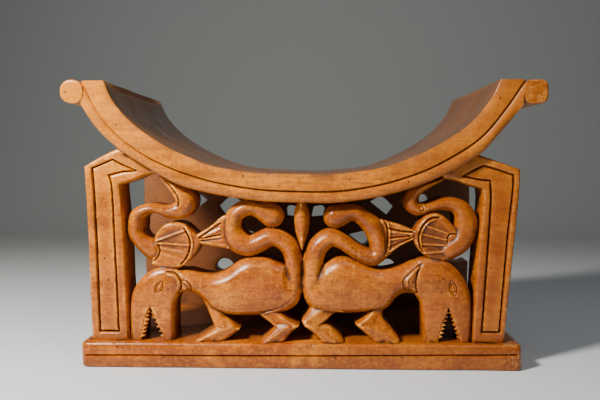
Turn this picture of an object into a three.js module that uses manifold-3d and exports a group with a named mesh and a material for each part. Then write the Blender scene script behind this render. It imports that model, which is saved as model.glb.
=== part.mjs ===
// A prestige stool carved from one block of wood: a curved seat with a roll at each end, a flat base,
// and between them two panels, each with two posts, two biting beasts and two long-necked birds. The
// front panel is openwork; the plainer back one has a ground behind its figures, pierced in a few places.
// Millimetres, +Z up, the carved front towards -Y, the origin at the centre of the base's underside.

import * as THREE from 'three';
import { mergeVertices } from 'three/addons/utils/BufferGeometryUtils.js';
import Module from 'manifold-3d';

const wasm = await Module();
wasm.setup();

// Driving dimensions
const seatDepth = 270;
const seatEndTop = 326;
const baseWidth = 508;
const baseMiddle = -2;
const baseThickness = 29.5;
const baseCornerRadius = 7;
const edgeBevel = 3;
const sharp = 0.5;

// Seat and panels are drawn from a level this far above the underside
const drawnLevel = 3.5;

// The panels, measured back from the edge of the base
const postSetback = 14;
const panelThickness = 40;
const backPanelThickness = 36;
const sink = 3;

// How far the back panel's ground lies behind its posts; inside, both are flush
const groundSetback = 20;

// Depth of each kind of form in front of the panel's post faces
const proud = { head: 2, body: 4, neck: 1, fan: -3, foreleg: 6, hindleg: 10, drop: 0, wing: -1 };
const bevels = { head: 4, body: 8, fan: 2, foreleg: 2.5, hindleg: 2.5, wing: 5 };
const grooveWidth = 5;
const grooveDepth = 2.6;

// Seat section: x and z of its three edges, from left to right
const seatTop = [
  [-224, 326], [-212, 301], [-188, 275], [-155, 253], [-116, 235], [-88, 227], [-50, 223],
  [0, 221], [50, 223], [87, 227], [115, 236], [153, 254], [186, 276], [209, 302], [221, 326],
];
const seatGroove = [
  [-250, 327], [-233, 292], [-213, 267], [-189, 248], [-165, 234], [-121, 217], [-65, 205],
  [0, 200], [66, 204], [122, 218], [174, 243], [204, 265], [229, 296], [249, 326],
];
const seatBead = [
  [-250, 299], [-234, 273], [-209, 249], [-172, 225], [-138, 207], [-92, 196], [-47, 190],
  [0, 188], [49, 189], [103, 198], [155, 217], [199, 242], [221, 265], [246, 297],
];
const roll = { left: [-261, 314], right: [261, 312], half: 13.3, leftCorner: 11, rightCorner: 7 };

// Posts: outline and the flat band that two V grooves set off from the mouldings
const leftPost = {
  outline: [
    [-247, 24], [-249, 108], [-250, 161], [-253, 229], [-234, 240], [-213, 250], [-190, 250],
    [-165, 230], [-170, 221], [-193, 214], [-211, 208], [-206, 132], [-203, 24],
  ],
  band: [
    [-219, 237], [-243, 227], [-241, 196], [-237, 36], [-215, 36], [-219, 161], [-222, 210],
    [-224, 219], [-208, 223], [-192, 224], [-209, 231],
  ],
};
const rightPost = {
  outline: [
    [234, 24], [239, 87], [242, 122], [248, 197], [249, 226], [231, 232], [203, 242], [190, 246],
    [158, 224], [162, 215], [186, 209], [206, 203], [207, 191], [202, 133], [196, 24],
  ],
  band: [
    [207, 230], [220, 226], [241, 219], [236, 154], [228, 38], [208, 38], [211, 87], [216, 191],
    [215, 213], [203, 214], [184, 218], [196, 225],
  ],
};

// Carved forms as stations along a line: x, z and half-width
const drop = [[-1, 191, 4], [-1, 178, 8], [0, 167, 9], [0, 156, 7.8], [0, 144, 4.6], [0, 134, 1.6]];

const left = {
  tail: [
    [-10, 84, 9.6], [-9.5, 103, 10], [-9.5, 119, 10.3], [-15, 135, 10.3], [-28, 145, 10.3],
    [-39, 146, 10.9], [-51, 140, 11.5], [-63, 136, 11.8], [-76, 143, 13], [-82, 158, 10.7],
    [-77, 174, 9.5], [-63, 182, 9.8], [-50, 180, 11], [-35, 172, 14],
  ],
  neck: [
    [-164, 217, 3.2], [-154, 209, 6], [-143, 200, 9.5], [-136, 190, 12], [-139, 180, 11],
    [-151, 176, 8.8], [-159, 176, 7], [-167, 178, 5.7], [-176, 180, 5.6], [-185, 178, 6.6],
    [-193, 172, 8], [-195, 162, 9], [-195, 151, 8.8], [-188, 140, 8.9], [-176, 131, 11.5],
  ],
  body: [
    [-145, 80], [-127, 81], [-117, 74], [-105, 62], [-90, 56], [-58, 55], [-31, 59], [-15, 66],
    [-3.5, 76], [1.2, 88], [0, 104], [-18, 108], [-30, 117], [-43, 122.5], [-60, 123], [-74, 118],
    [-90, 106], [-104, 101], [-116, 103], [-136, 108],
  ],
  head: [
    [-201, 24], [-188, 24], [-186, 41], [-181, 58], [-177, 65], [-173, 59], [-169, 45], [-161, 32],
    [-158, 24], [-149, 24], [-150, 50], [-149, 72], [-144, 80], [-134, 90], [-140, 104], [-150, 110],
    [-163, 111.5], [-177, 107], [-189, 97], [-198, 83], [-201, 70],
  ],
  foreleg: [
    [-116, 72], [-104, 48], [-101, 41], [-118, 30], [-130, 23], [-101, 23], [-86, 30], [-72, 40],
    [-84, 50], [-92, 57], [-88, 68],
  ],
  hindleg: [
    [-60, 62], [-36, 47], [-31, 43], [-41, 32], [-50, 23], [-25, 24], [-13, 37], [-3, 45],
    [-16, 52], [-34, 64],
  ],
  wing: [
    [-175, 116], [-154, 110], [-142, 112], [-127, 124], [-120, 136], [-118, 143], [-128, 153],
    [-139, 162], [-153, 163.5], [-164, 158], [-172, 146],
  ],
  fan: [[-124, 140], [-107, 136.5], [-84, 134], [-84, 170], [-91, 172], [-106, 160], [-124, 149]],
};

const right = {
  tail: [
    [12.5, 84, 12], [12.5, 104, 12.1], [13, 119, 12.1], [19, 136, 11.8], [33, 146, 10.9],
    [46, 142, 9.4], [58, 134, 8.8], [69, 127, 9], [82, 123, 9.6], [90, 131, 10.5],
    [89, 143, 11], [84, 157, 11.8], [72, 169, 10], [58, 176, 9.8], [39, 171, 14],
  ],
  neck: [
    [161, 214, 2.4], [149, 209, 3.4], [137, 203, 4.6], [128, 197, 6.8], [126, 187, 8.8],
    [132, 180, 7.9], [143, 180, 6], [155, 184, 6.6], [166, 186, 8], [177, 184, 8.9],
    [186, 177, 10.7], [190, 166, 12.6], [189, 154, 12.4], [183, 141, 12.1], [170, 132, 11.5],
  ],
  body: [
    [-0.4, 88], [4.5, 77], [14, 66], [27, 60], [50, 58], [73, 60], [93, 62], [100, 66], [109, 77],
    [119, 82], [136, 80], [146, 100], [134, 121], [113, 113], [96, 109], [84, 110], [69, 116],
    [53, 123], [40, 123.5], [27, 116], [14, 108], [0.5, 104],
  ],
  head: [
    [146, 24], [158, 24], [159, 35], [162, 48], [167, 60], [169, 66], [172, 60], [177, 46],
    [182, 33], [184, 24], [195, 24], [196, 66], [193, 88], [185, 103], [174, 115], [164, 120],
    [150, 123], [134, 122], [128, 110], [126, 92], [131, 81], [138, 69], [140, 46],
  ],
  foreleg: [
    [84, 66], [75, 56], [62, 47], [66, 43], [75, 35], [91, 23], [113, 23], [112, 31], [104, 42],
    [94, 55], [98, 68],
  ],
  hindleg: [
    [14, 68], [0, 50], [3, 45], [12, 38], [19, 32], [27, 24], [49, 24], [48, 29], [38, 40],
    [30, 45.5], [21, 45], [27, 50], [46, 64],
  ],
  wing: [
    [168, 122], [176, 134], [180, 150], [169, 166], [158, 175], [147, 175.5], [136, 165], [130, 155],
    [129, 144], [138, 130], [151, 122],
  ],
  fan: [[128, 155], [113, 162], [91, 168], [91, 128], [97, 124], [113, 137], [130, 146]],
};

// The back panel, drawn for the +X side and mirrored for the other
const backPost = {
  outline: [
    [235, 24], [237, 110], [238, 170], [237, 224], [222, 232], [203, 242], [190, 246], [164, 228],
    [172, 216], [192, 210], [202, 203], [205, 132], [204, 24],
  ],
  band: [[228, 38], [230, 120], [229, 214], [214, 221], [212, 120], [212, 38]],
};
const back = {
  tail: [
    [11, 60, 10], [11, 85, 10.5], [16, 102, 10.5], [32, 110, 10], [48, 104, 9], [64, 98, 9.5],
    [84, 99, 10.5], [101, 109, 11.5], [106, 127, 11], [97, 144, 11], [80, 147, 11], [60, 141, 11],
    [42, 139, 13],
  ],
  neck: [
    [178, 222, 3], [162, 212, 4.4], [147, 203, 6], [137, 193, 8.5], [138, 183, 9], [146, 188, 7],
    [158, 195, 7], [172, 197, 7.6], [186, 190, 8.4], [194, 175, 9.2], [195, 154, 10], [188, 134, 11],
    [174, 120, 12],
  ],
  body: [
    [-2, 66], [6, 52], [24, 42], [60, 38], [90, 38], [108, 44], [124, 49], [144, 56], [152, 74],
    [140, 80], [128, 72], [114, 68], [100, 70], [84, 76], [66, 86], [48, 92], [28, 88], [10, 80],
  ],
  head: [
    [142, 24], [154, 24], [158, 44], [164, 56], [172, 44], [178, 24], [196, 24], [198, 60], [190, 78],
    [174, 90], [156, 92], [140, 84], [134, 72], [138, 60],
  ],
  foreleg: [[90, 46], [76, 36], [84, 23], [112, 23], [106, 36], [106, 52]],
  hindleg: [[20, 48], [8, 37], [18, 23], [46, 23], [38, 36], [44, 48]],
  wing: [
    [133, 128], [140, 112], [158, 104], [176, 110], [186, 128], [184, 148], [170, 160], [150, 160],
    [137, 148],
  ],
  fan: [[108, 112], [122, 118], [136, 126], [136, 138], [122, 148], [108, 154]],
};
const backGround = [
  [-220, 22], [220, 22], [220, 236], [199, 246], [155, 222], [103, 203], [49, 194], [0, 193],
  [-49, 194], [-103, 203], [-155, 222], [-199, 246], [-220, 236],
];
const pierced = [
  [[8, 153], [12, 169], [26, 169], [27, 155]],
  [[94, 176], [110, 183], [128, 169], [119, 156]],
  [[144, 178], [151, 184], [166, 187], [177, 184], [176, 172], [162, 165]],
  [[64, 128], [92, 135], [94, 118], [86, 110], [72, 112]],
  [[103, 67], [107, 84], [115, 91], [124, 91], [132, 82], [134, 67]],
];

// The +X post of the back panel has lost this length, between two ragged ends
const lostLength = [
  [206, 91], [213, 86], [226, 90], [234, 88], [256, 92], [256, 134], [226, 143], [214, 136], [206, 139],
];

// Teeth: where each row starts and ends along the edge of the mouth
const toothSize = { radius: 2.2, length: 4.6, rooted: 1.4, setBack: 4 };
const teeth = [
  { from: [-187, 34], to: [-180, 60], count: 6, lean: 1 },
  { from: [-162, 34], to: [-172, 57], count: 5, lean: -1 },
  { from: [159, 36], to: [166, 59], count: 6, lean: 1 },
  { from: [183.5, 34], to: [173, 59], count: 6, lean: -1 },
];

// Lines cut into the figures: wing ribs, fan feathers and ears
const cuts = {
  left: {
    wing: [
      [[-180, 142], [-143, 155]], [[-176, 141], [-138, 136]], [[-176, 133], [-140, 128]],
      [[-138, 156], [-133, 140], [-143, 118]],
    ],
    fan: [
      [[-118, 146], [-92, 168]], [[-118, 144], [-93, 154]], [[-117, 142], [-90, 143]],
      [[-92, 172], [-94, 158], [-87, 136]],
    ],
    head: [[[-156, 105], [-142, 98], [-145, 82]], [[-134, 96], [-128, 88], [-144, 82]]],
  },
  right: {
    wing: [
      [[146, 160], [168, 152]], [[135, 151], [166, 144]], [[134, 141], [166, 139]],
      [[138, 131], [170, 134]],
    ],
    fan: [
      [[124, 149], [101, 158]], [[124, 147], [99, 147]], [[124, 145], [100, 136]],
      [[94, 169], [99, 150], [96, 125]],
    ],
    head: [[[137, 116], [132, 100], [133, 84]], [[136, 117], [117, 99], [119, 88], [133, 84]]],
  },
  back: {
    wing: [[[145, 146], [178, 136]], [[145, 136], [180, 128]], [[147, 126], [176, 119]]],
    fan: [[[114, 146], [134, 134]], [[114, 120], [134, 131]]],
    head: [],
  },
};
const cutLine = { width: 3, depth: 1.6 };

// Eyes of the beasts: the middle in x and z, and the slope of the long way
const eyes = [[-168, 90, 0.75], [175, 90, -1.2]];
const eyeSize = { long: 7.5, wide: 3.6, corners: 8, line: 1.8, depth: 1.2 };

const wood = new THREE.MeshStandardMaterial({ color: 0xa8642c, roughness: 0.45, metalness: 0 });

const frontFace = -seatDepth / 2 + postSetback;

// The same points on the other side of the middle
const mirrored = (lines) => lines.map(([x, ...rest]) => [-x, ...rest]);
const mirroredSet = (set) => (
  Object.fromEntries(Object.entries(set).map(([kind, lines]) => [kind, mirrored(lines)])));

// Closed geometry to solid: only positions, shared corners, faces turned outwards
function solid(geometry) {
  geometry.deleteAttribute('normal');
  geometry.deleteAttribute('uv');
  const merged = mergeVertices(geometry, 1e-3);
  const position = merged.attributes.position;
  const corners = [];
  let volume = 0;
  const a = new THREE.Vector3();
  const b = new THREE.Vector3();
  const c = new THREE.Vector3();
  for (let i = 0; i < merged.index.count; i += 3) {
    const [p, q, r] = [merged.index.getX(i), merged.index.getX(i + 1), merged.index.getX(i + 2)];
    if (p === q || q === r || r === p) continue;
    corners.push(p, q, r);
    a.fromBufferAttribute(position, p);
    b.fromBufferAttribute(position, q);
    c.fromBufferAttribute(position, r);
    volume += a.dot(b.cross(c));
  }
  if (volume < 0) {
    for (let i = 0; i < corners.length; i += 3) {
      [corners[i + 1], corners[i + 2]] = [corners[i + 2], corners[i + 1]];
    }
  }
  const vertProperties = new Float32Array(position.array);
  const triVerts = new Uint32Array(corners);
  return new wasm.Manifold(new wasm.Mesh({ numProp: 3, vertProperties, triVerts }));
}

const join = (solids) => solids.reduce((whole, next) => whole.add(next));

// Solid back to geometry
function skin(whole) {
  const { vertProperties, triVerts } = whole.getMesh();
  const geometry = new THREE.BufferGeometry();
  geometry.setAttribute('position', new THREE.BufferAttribute(new Float32Array(vertProperties), 3));
  geometry.setIndex(new THREE.BufferAttribute(new Uint32Array(triVerts), 1));
  return geometry;
}

// A closed skin over rings of equal count, by moving the corners of an open cylinder's grid
function loft(rings) {
  const sides = rings[0].length;
  const steps = rings.length - 1;
  const geometry = new THREE.CylinderGeometry(1, 1, 1, sides, steps);
  const position = geometry.attributes.position;
  for (let i = 0; i < position.count; i++) {
    const [x, y, z] = [position.getX(i), position.getY(i), position.getZ(i)];
    const ring = rings[Math.round((0.5 - y) * steps)];
    const corner = (Math.round((Math.atan2(x, z) / (2 * Math.PI)) * sides) + sides) % sides;
    const point = new THREE.Vector3();
    if (Math.hypot(x, z) > 0.5) {
      point.copy(ring[corner]);
    } else {
      ring.forEach((p) => point.addScaledVector(p, 1 / sides));
    }
    position.setXYZ(i, point.x, point.y, point.z);
  }
  return geometry;
}

// Side view of a carved form: flat behind, straight walls, a rounded front
function formSection(arcPoints) {
  const section = [{ across: -1, front: 0, wall: 1 }];
  for (let i = 0; i <= arcPoints; i++) {
    const angle = Math.PI * (1 - i / arcPoints);
    const across = Math.sign(Math.cos(angle)) * Math.abs(Math.cos(angle)) ** 0.75;
    section.push({ across, front: Math.abs(Math.sin(angle)) ** 0.75, wall: 0 });
  }
  section.push({ across: 1, front: 0, wall: 1 });
  return section;
}

// A form along a line of stations, rounded over at both tips
function form(stations, { crown, rise, behind, arcPoints, steps }) {
  const line = new THREE.CatmullRomCurve3(stations.map(([x, z, half]) => new THREE.Vector3(x, z, half)));
  const section = formSection(arcPoints);
  const count = Math.round((stations.length - 1) * steps);
  const ringAt = (t, along, scale) => {
    const here = line.getPoint(t);
    const tangent = line.getTangent(t).setZ(0).normalize();
    const half = here.z * scale;
    const height = Math.min(rise, here.z) * scale;
    const edge = crown + Math.min(rise, here.z);
    return section.map(({ across, front, wall }) => new THREE.Vector3(
      here.x + tangent.x * along * here.z - tangent.y * across * half,
      wall ? behind : edge - front * height,
      here.y + tangent.y * along * here.z + tangent.x * across * half,
    ));
  };
  const tips = [Math.PI / 3.2];
  const rings = [
    ...tips.map((angle) => ringAt(0, -Math.sin(angle), Math.cos(angle))),
    ...Array.from({ length: count + 1 }, (_, i) => ringAt(i / count, 0, 1)),
    ...tips.reverse().map((angle) => ringAt(1, Math.sin(angle), Math.cos(angle))),
  ];
  return solid(loft(rings));
}

// An outline in x and z, extruded between two depths, with both faces bevelled
function plate(points, near, far, bevel, rounds = 1) {
  const shape = new THREE.Shape(points.map(([x, z]) => new THREE.Vector2(x, z)));
  const geometry = new THREE.ExtrudeGeometry(shape, {
    depth: far - near - 2 * bevel,
    bevelThickness: bevel,
    bevelSize: bevel,
    bevelOffset: -bevel,
    bevelSegments: rounds,
  });
  geometry.rotateX(Math.PI / 2);
  geometry.translate(0, far - bevel, 0);
  return solid(geometry);
}

// A V groove, as the diamond bar that cuts it, with mitred corners
function grooveBar(points, face, width, depth) {
  const line = points.map(([x, z]) => new THREE.Vector2(x, z));
  const rings = line.map((point, i) => {
    const before = point.clone().sub(line[Math.max(i - 1, 0)]);
    const after = line[Math.min(i + 1, line.length - 1)].clone().sub(point);
    const way = before.normalize().add(after.normalize()).normalize();
    const turn = i > 0 && i < line.length - 1 ? Math.max(way.dot(after), 0.5) : 1;
    const reach = width / 2 / turn;
    return [
      new THREE.Vector3(point.x - way.y * reach, face, point.y + way.x * reach),
      new THREE.Vector3(point.x, face - depth, point.y),
      new THREE.Vector3(point.x + way.y * reach, face, point.y - way.x * reach),
      new THREE.Vector3(point.x, face + depth, point.y),
    ];
  });
  return solid(loft(rings));
}

function smooth(points, count) {
  const curve = new THREE.SplineCurve(points.map(([x, z]) => new THREE.Vector2(x, z)));
  return curve.getPoints(count).map(({ x, y }) => [x, y]);
}

function roundedSquare([x, z], half, radius, cornerPoints) {
  const points = [];
  for (let quarter = 0; quarter < 4; quarter++) {
    for (let i = 0; i <= cornerPoints; i++) {
      const angle = (quarter + i / cornerPoints) * (Math.PI / 2);
      const middle = Math.PI / 4 + quarter * (Math.PI / 2);
      const shift = (half - radius) * Math.SQRT2;
      points.push([
        x + Math.cos(middle) * shift + Math.cos(angle) * radius,
        z + Math.sin(middle) * shift + Math.sin(angle) * radius,
      ]);
    }
  }
  return points;
}

function seat() {
  const edge = seatDepth / 2;
  const under = smooth(seatBead, 22);
  const over = smooth(seatTop, 24).reverse();
  const outline = [...under, [251, 300], [251, seatEndTop], ...over, [-252, seatEndTop + 0.5], [-252, 302]];
  const slab = plate(outline, -edge, edge, edgeBevel);
  const rolls = [
    plate(roundedSquare(roll.left, roll.half, roll.leftCorner, 4), -edge, edge, 2),
    plate(roundedSquare(roll.right, roll.half, roll.rightCorner, 3), -edge, edge, 2),
  ];
  const line = smooth(seatGroove, 20);
  const channels = [-edge, edge].map((face) => grooveBar(line, face, grooveWidth, grooveDepth));
  return join([slab, ...rolls]).subtract(join(channels));
}

function base() {
  const half = baseWidth / 2;
  const deep = seatDepth / 2;
  const [x, y] = [half - baseCornerRadius, deep - baseCornerRadius];
  const shape = new THREE.Shape();
  [[x, y], [-x, y], [-x, -y], [x, -y]].forEach((corner, quarter) => {
    const from = (quarter * Math.PI) / 2;
    shape.absarc(...corner, baseCornerRadius, from, from + Math.PI / 2);
  });
  const bevel = 2;
  const middle = baseThickness / 2;
  const slab = new THREE.ExtrudeGeometry(shape, {
    depth: baseThickness - 2 * bevel,
    bevelThickness: bevel,
    bevelSize: bevel,
    bevelOffset: -bevel,
    bevelSegments: 1,
    curveSegments: 4,
  });
  slab.translate(baseMiddle, 0, bevel);
  const line = [[baseMiddle - half + 4, middle - 0.5], [0, middle + 0.5], [baseMiddle + half - 8, middle + 3.5]];
  const channels = [-deep, deep].map((face) => grooveBar(line, face, 4, 2));
  return solid(slab).subtract(join(channels));
}

// Each side of the band is a groove of its own, so that its corners stay sharp
function post({ outline, band }, face, behind) {
  const block = plate(outline, face, behind + sink, 2.5);
  const bars = band.map((point, i) => {
    const next = band[(i + 1) % band.length];
    const way = new THREE.Vector2(next[0] - point[0], next[1] - point[1]).normalize();
    const over = grooveWidth / 3;
    const from = [point[0] - way.x * over, point[1] - way.y * over];
    const to = [next[0] + way.x * over, next[1] + way.y * over];
    return grooveBar([from, to], face, 4.4, grooveDepth);
  });
  return block.subtract(join(bars));
}

function tooth([x, z], lean, face, behind) {
  const cone = new THREE.ConeGeometry(toothSize.radius, toothSize.length, 4);
  cone.rotateZ((-lean * Math.PI) / 2);
  cone.scale(1, (behind - face) / (2 * toothSize.radius), 1);
  cone.translate(x + lean * (toothSize.length / 2 - toothSize.rooted), (face + behind) / 2, z);
  return solid(cone);
}

function eye([x, z, slope], face) {
  const { long, wide, corners, line, depth } = eyeSize;
  const way = new THREE.Vector2(1, slope).normalize();
  const rim = Array.from({ length: corners }, (_, i) => {
    const angle = (i / corners) * 2 * Math.PI;
    const along = Math.cos(angle) * long;
    const across = Math.sin(angle) * wide;
    return [x + way.x * along - way.y * across, z + way.y * along + way.x * across];
  });
  return join(rim.map((point, i) => grooveBar([point, rim[(i + 1) % corners]], face, line, depth)));
}

// Each line of a set, beside the kind of form that it is cut into
const named = (set) => Object.entries(set).flatMap(([kind, lines]) => lines.map((line) => [kind, line]));

// Posts and figures of one panel, its face towards -Y, trimmed flat behind
function panel({ posts, figures, lines, thickness, arcPoints, steps, rounds }) {
  const behind = frontFace + thickness;
  const rounded = (stations, kind, rise) => form(stations, {
    crown: frontFace - proud[kind],
    rise,
    behind: behind + sink,
    arcPoints,
    steps,
  });
  const cutOut = (outline, kind) => {
    const near = frontFace - proud[kind];
    return plate(outline, near, behind + 2 * bevels[kind], bevels[kind], rounds);
  };
  const figure = (side) => [
    rounded(side.tail, 'neck', 9),
    rounded(side.neck, 'neck', 8),
    ...Object.keys(bevels).map((kind) => cutOut(side[kind], kind)),
  ];
  const solids = [
    ...posts.map((sides) => post(sides, frontFace, behind)),
    rounded(drop, 'drop', 7),
    ...figures.flatMap(figure),
  ];
  const bars = lines.map(([kind, line]) => (
    grooveBar(line, frontFace - proud[kind], cutLine.width, cutLine.depth)));
  const spare = new THREE.BoxGeometry(seatDepth * 2, panelThickness, seatEndTop);
  spare.translate(0, behind + panelThickness / 2, seatEndTop / 2);
  return join(solids).subtract(join([...bars, solid(spare)]));
}

function frontPanel() {
  const behind = frontFace + panelThickness;
  const carved = panel({
    posts: [leftPost, rightPost],
    figures: [left, right],
    lines: [...named(cuts.left), ...named(cuts.right)],
    thickness: panelThickness,
    arcPoints: 4,
    steps: 1,
    rounds: 2,
  });
  const bites = teeth.flatMap(({ from, to, count, lean }) => Array.from({ length: count }, (_, i) => {
    const place = from.map((value, axis) => value + ((to[axis] - value) * i) / (count - 1));
    return tooth(place, lean, frontFace + toothSize.setBack, behind - toothSize.setBack);
  }));
  const rings = eyes.map((place) => eye(place, frontFace - proud.head));
  return join([carved, ...bites]).subtract(join(rings));
}

// The back panel is worked out facing -Y like the front one, and then turned about the middle
function backPanel() {
  const behind = frontFace + backPanelThickness;
  const near = frontFace + groundSetback;
  const figures = panel({
    posts: [backPost, mirroredSet(backPost)],
    figures: [back, mirroredSet(back)],
    lines: [...named(cuts.back), ...named(cuts.back).map(([kind, line]) => [kind, mirrored(line)])],
    thickness: backPanelThickness,
    arcPoints: 3,
    steps: 0.7,
    rounds: 1,
  });
  const rims = [...pierced, ...pierced.map(mirrored)];
  const openings = rims.map((rim) => plate(rim, near - sink, behind + sink, sharp));
  const sheet = plate(backGround, near, behind, sharp).subtract(join(openings));
  const lost = plate(lostLength, frontFace - postSetback, behind + sink, sharp);
  const turned = skin(join([figures, sheet]).subtract(lost));
  turned.scale(1, -1, 1);
  return solid(turned);
}

function toMesh(whole, name, material) {
  const geometry = skin(whole);
  geometry.computeVertexNormals();
  const mesh = new THREE.Mesh(geometry, material);
  mesh.name = name;
  return mesh;
}

const carved = join([seat(), frontPanel(), backPanel()]).translate([0, 0, drawnLevel]);
const stool = join([base(), carved]);

const group = new THREE.Group();
group.add(toMesh(stool, 'stool', wood));

export default group;
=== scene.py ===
import math

import bpy
import numpy as np
from mathutils import Matrix, Vector


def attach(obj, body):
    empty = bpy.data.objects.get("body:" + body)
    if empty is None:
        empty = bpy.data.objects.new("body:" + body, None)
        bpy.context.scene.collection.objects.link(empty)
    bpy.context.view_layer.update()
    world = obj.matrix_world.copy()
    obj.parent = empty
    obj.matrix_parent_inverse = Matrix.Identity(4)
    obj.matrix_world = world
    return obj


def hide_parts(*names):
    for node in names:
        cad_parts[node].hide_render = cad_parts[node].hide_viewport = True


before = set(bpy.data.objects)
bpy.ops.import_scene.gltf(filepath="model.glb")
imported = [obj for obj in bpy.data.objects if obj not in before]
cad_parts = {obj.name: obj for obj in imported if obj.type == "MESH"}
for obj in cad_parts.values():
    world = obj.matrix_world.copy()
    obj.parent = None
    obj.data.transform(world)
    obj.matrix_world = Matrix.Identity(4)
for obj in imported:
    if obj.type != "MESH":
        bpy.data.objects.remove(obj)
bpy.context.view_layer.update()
mm = 0.001

# camera first: a 40 mm lens a little left of straight on, looking slightly down

cameraValues = {
    "place": (0.02075, -0.880, 0.2400),
    "tiltDown": 3.463,
    "turnLeft": 1.73,
    "focalPixels": 661.0,
    "imageWidth": 600,
    "sensorWidth": 36,
}


def placed(name, data):
    made = bpy.data.objects.new(name, data)
    bpy.context.scene.collection.objects.link(made)
    return made


def makeCamera(v):
    data = bpy.data.cameras.new("camera")
    data.sensor_width = v["sensorWidth"]
    data.lens = v["focalPixels"] / v["imageWidth"] * data.sensor_width
    camera = placed("camera", data)
    camera.location = v["place"]
    camera.rotation_euler = (math.radians(90 - v["tiltDown"]), 0, math.radians(v["turnLeft"]))
    bpy.context.scene.camera = camera


makeCamera(cameraValues)
print("camera at", cameraValues["place"])

# the figures, in millimetres: x to the right, z up
# a third value of 1 marks a sharp corner; stations along a limb hold x, z and half-width

panelValues = {
    "low": (-262, 14),  # corners of the sheet of points that a panel is worked out on
    "high": (262, 258),
    "faceSetback": 14,
    "frontThickness": 40,
    "backThickness": 36,
    "frontStep": 0.75,
    "backStep": 1.2,
    "frontTriangles": 114000,
    "backTriangles": 38000,
    "detailBends": (0.125, 0.625),  # how sharply the front turns where its mesh is kept fine
    "wallRows": 4,
    "handWaver": 0.35,
    "outlineWaver": 0.25,
    "innerWaver": {"much": 0.3, "waves": (40, 90), "seed": 12},
    "innerFall": 1.6,  # how far the inner face falls back at its edges, and over what width
    "innerFallWidth": 2.5,
    "postChips": {"much": 1.1, "waves": (5, 17), "seed": 61, "above": 0.7},
    "chippedFrom": 200,
    "plainFirst": 4e-7,  # how strongly the thinning starts where the front is plain
    "seeds": (7, 18),  # of the front's and the back's waver
}

depth = 270
drawnLevel = 3.5  # seat and panels are drawn from a level this far above the underside

postShapes = {
    "left": {
        "outline": [
            (-247, 23, 1), (-249, 108), (-250, 161), (-253, 229, 1), (-234, 240), (-213, 250, 1),
            (-190, 252, 1), (-162, 232, 1), (-170, 221, 1), (-182, 219), (-193, 214.5), (-211, 208, 1),
            (-206, 132), (-203, 23, 1),
        ],
        "band": [
            (-219, 237, 1), (-243, 227, 1), (-241, 196), (-239, 138), (-237, 36, 1), (-215, 36, 1),
            (-219, 161), (-221, 208), (-224, 219, 1), (-208, 223), (-192, 224, 1), (-209, 231),
        ],
    },
    "right": {
        "outline": [
            (234, 23, 1), (239, 87), (242, 122), (248, 197), (249, 226, 1), (231, 232), (203, 242, 1),
            (190, 248, 1), (156, 226, 1), (162, 215, 1), (175, 213), (186, 209), (206, 203, 1), (207, 191),
            (202, 133), (196, 23, 1),
        ],
        "band": [
            (207, 230, 1), (220, 226), (241, 219, 1), (240, 197), (236, 154), (228, 38, 1), (208, 38, 1),
            (211, 87), (216, 191), (215, 213, 1), (203, 214), (184, 218, 1), (197, 225),
        ],
    },
}

dropStations = [
    (-1, 192, 3.2), (-1, 186, 4.5), (-1, 178, 8), (0, 167, 9), (0, 156, 7.8), (0, 144, 4.6), (0, 133, 1.2),
]

leftShapes = {
    "tail": [
        (-44, 58, 2), (-26, 64, 6), (-14, 73, 9.2), (-10, 86, 9.8), (-9.6, 103, 10), (-9.6, 119, 10.3),
        (-15, 135, 10.3), (-28, 145, 10.3), (-39, 146, 10.9), (-51, 140, 11.5), (-63, 136, 11.8),
        (-76, 143, 13), (-82, 158, 10.7), (-77, 174, 9.5), (-63, 182, 9.8), (-50, 180, 11), (-35, 172, 14),
    ],
    "neck": [
        (-151, 176, 8.8), (-159, 176, 7), (-167, 178, 5.7), (-176, 180, 5.6), (-185, 178, 6.6),
        (-193, 172, 8), (-195, 162, 9), (-195, 151, 8.8), (-188, 140, 8.9), (-176, 131, 11.5),
    ],
    "beak": [
        (-164, 217, 2.6), (-154, 209, 5.6), (-144, 200, 9), (-136, 190, 12), (-139, 180, 11),
        (-148, 177, 9.4),
    ],
    "body": [
        (-160, 90), (-140, 83), (-127, 81), (-117, 74), (-105, 62), (-90, 56), (-58, 55), (-31, 59),
        (-15, 66), (-4, 76), (1, 88), (0.4, 104), (-14, 110), (-30, 117), (-43, 122.5), (-60, 123),
        (-74, 118), (-90, 106.5), (-104, 101.5), (-116, 103), (-136, 107.5), (-156, 103),
    ],
    "head": [
        (-201, 18, 1), (-149, 18, 1), (-150, 50), (-149, 68), (-144, 79), (-134, 88), (-137, 102),
        (-150, 110), (-163, 111.5), (-177, 107), (-189, 97), (-198, 83), (-201, 66),
    ],
    "mouth": [
        (-188.5, 15, 1), (-186.5, 41), (-181.5, 57), (-177, 65.5, 1), (-173, 57), (-167, 42), (-161, 31),
        (-157, 15, 1),
    ],
    "foreleg": [
        (-117, 74, 1), (-104, 48), (-101, 41, 1), (-118, 30.5), (-131, 23, 1), (-101, 23), (-86, 30),
        (-72, 40, 1), (-84, 50), (-92, 57), (-88, 70, 1),
    ],
    "hindleg": [
        (-62, 64, 1), (-36, 47.5), (-30.5, 43, 1), (-41, 32.5), (-51, 23, 1), (-25, 24), (-13, 36.5),
        (-3, 45, 1), (-16, 52), (-34, 66, 1),
    ],
    "wing": [
        (-176, 115, 1), (-165, 110.5), (-154, 109.5), (-142, 111.5), (-128, 123), (-120.5, 136),
        (-117.5, 143, 1), (-128, 153.5), (-139, 162), (-153, 163.5), (-164, 158), (-172, 146),
    ],
    "fan": [
        (-125, 139, 1), (-107, 136.5), (-84, 133, 1), (-82, 170, 1), (-91, 172), (-106, 160),
        (-125, 148, 1),
    ],
}

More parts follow.
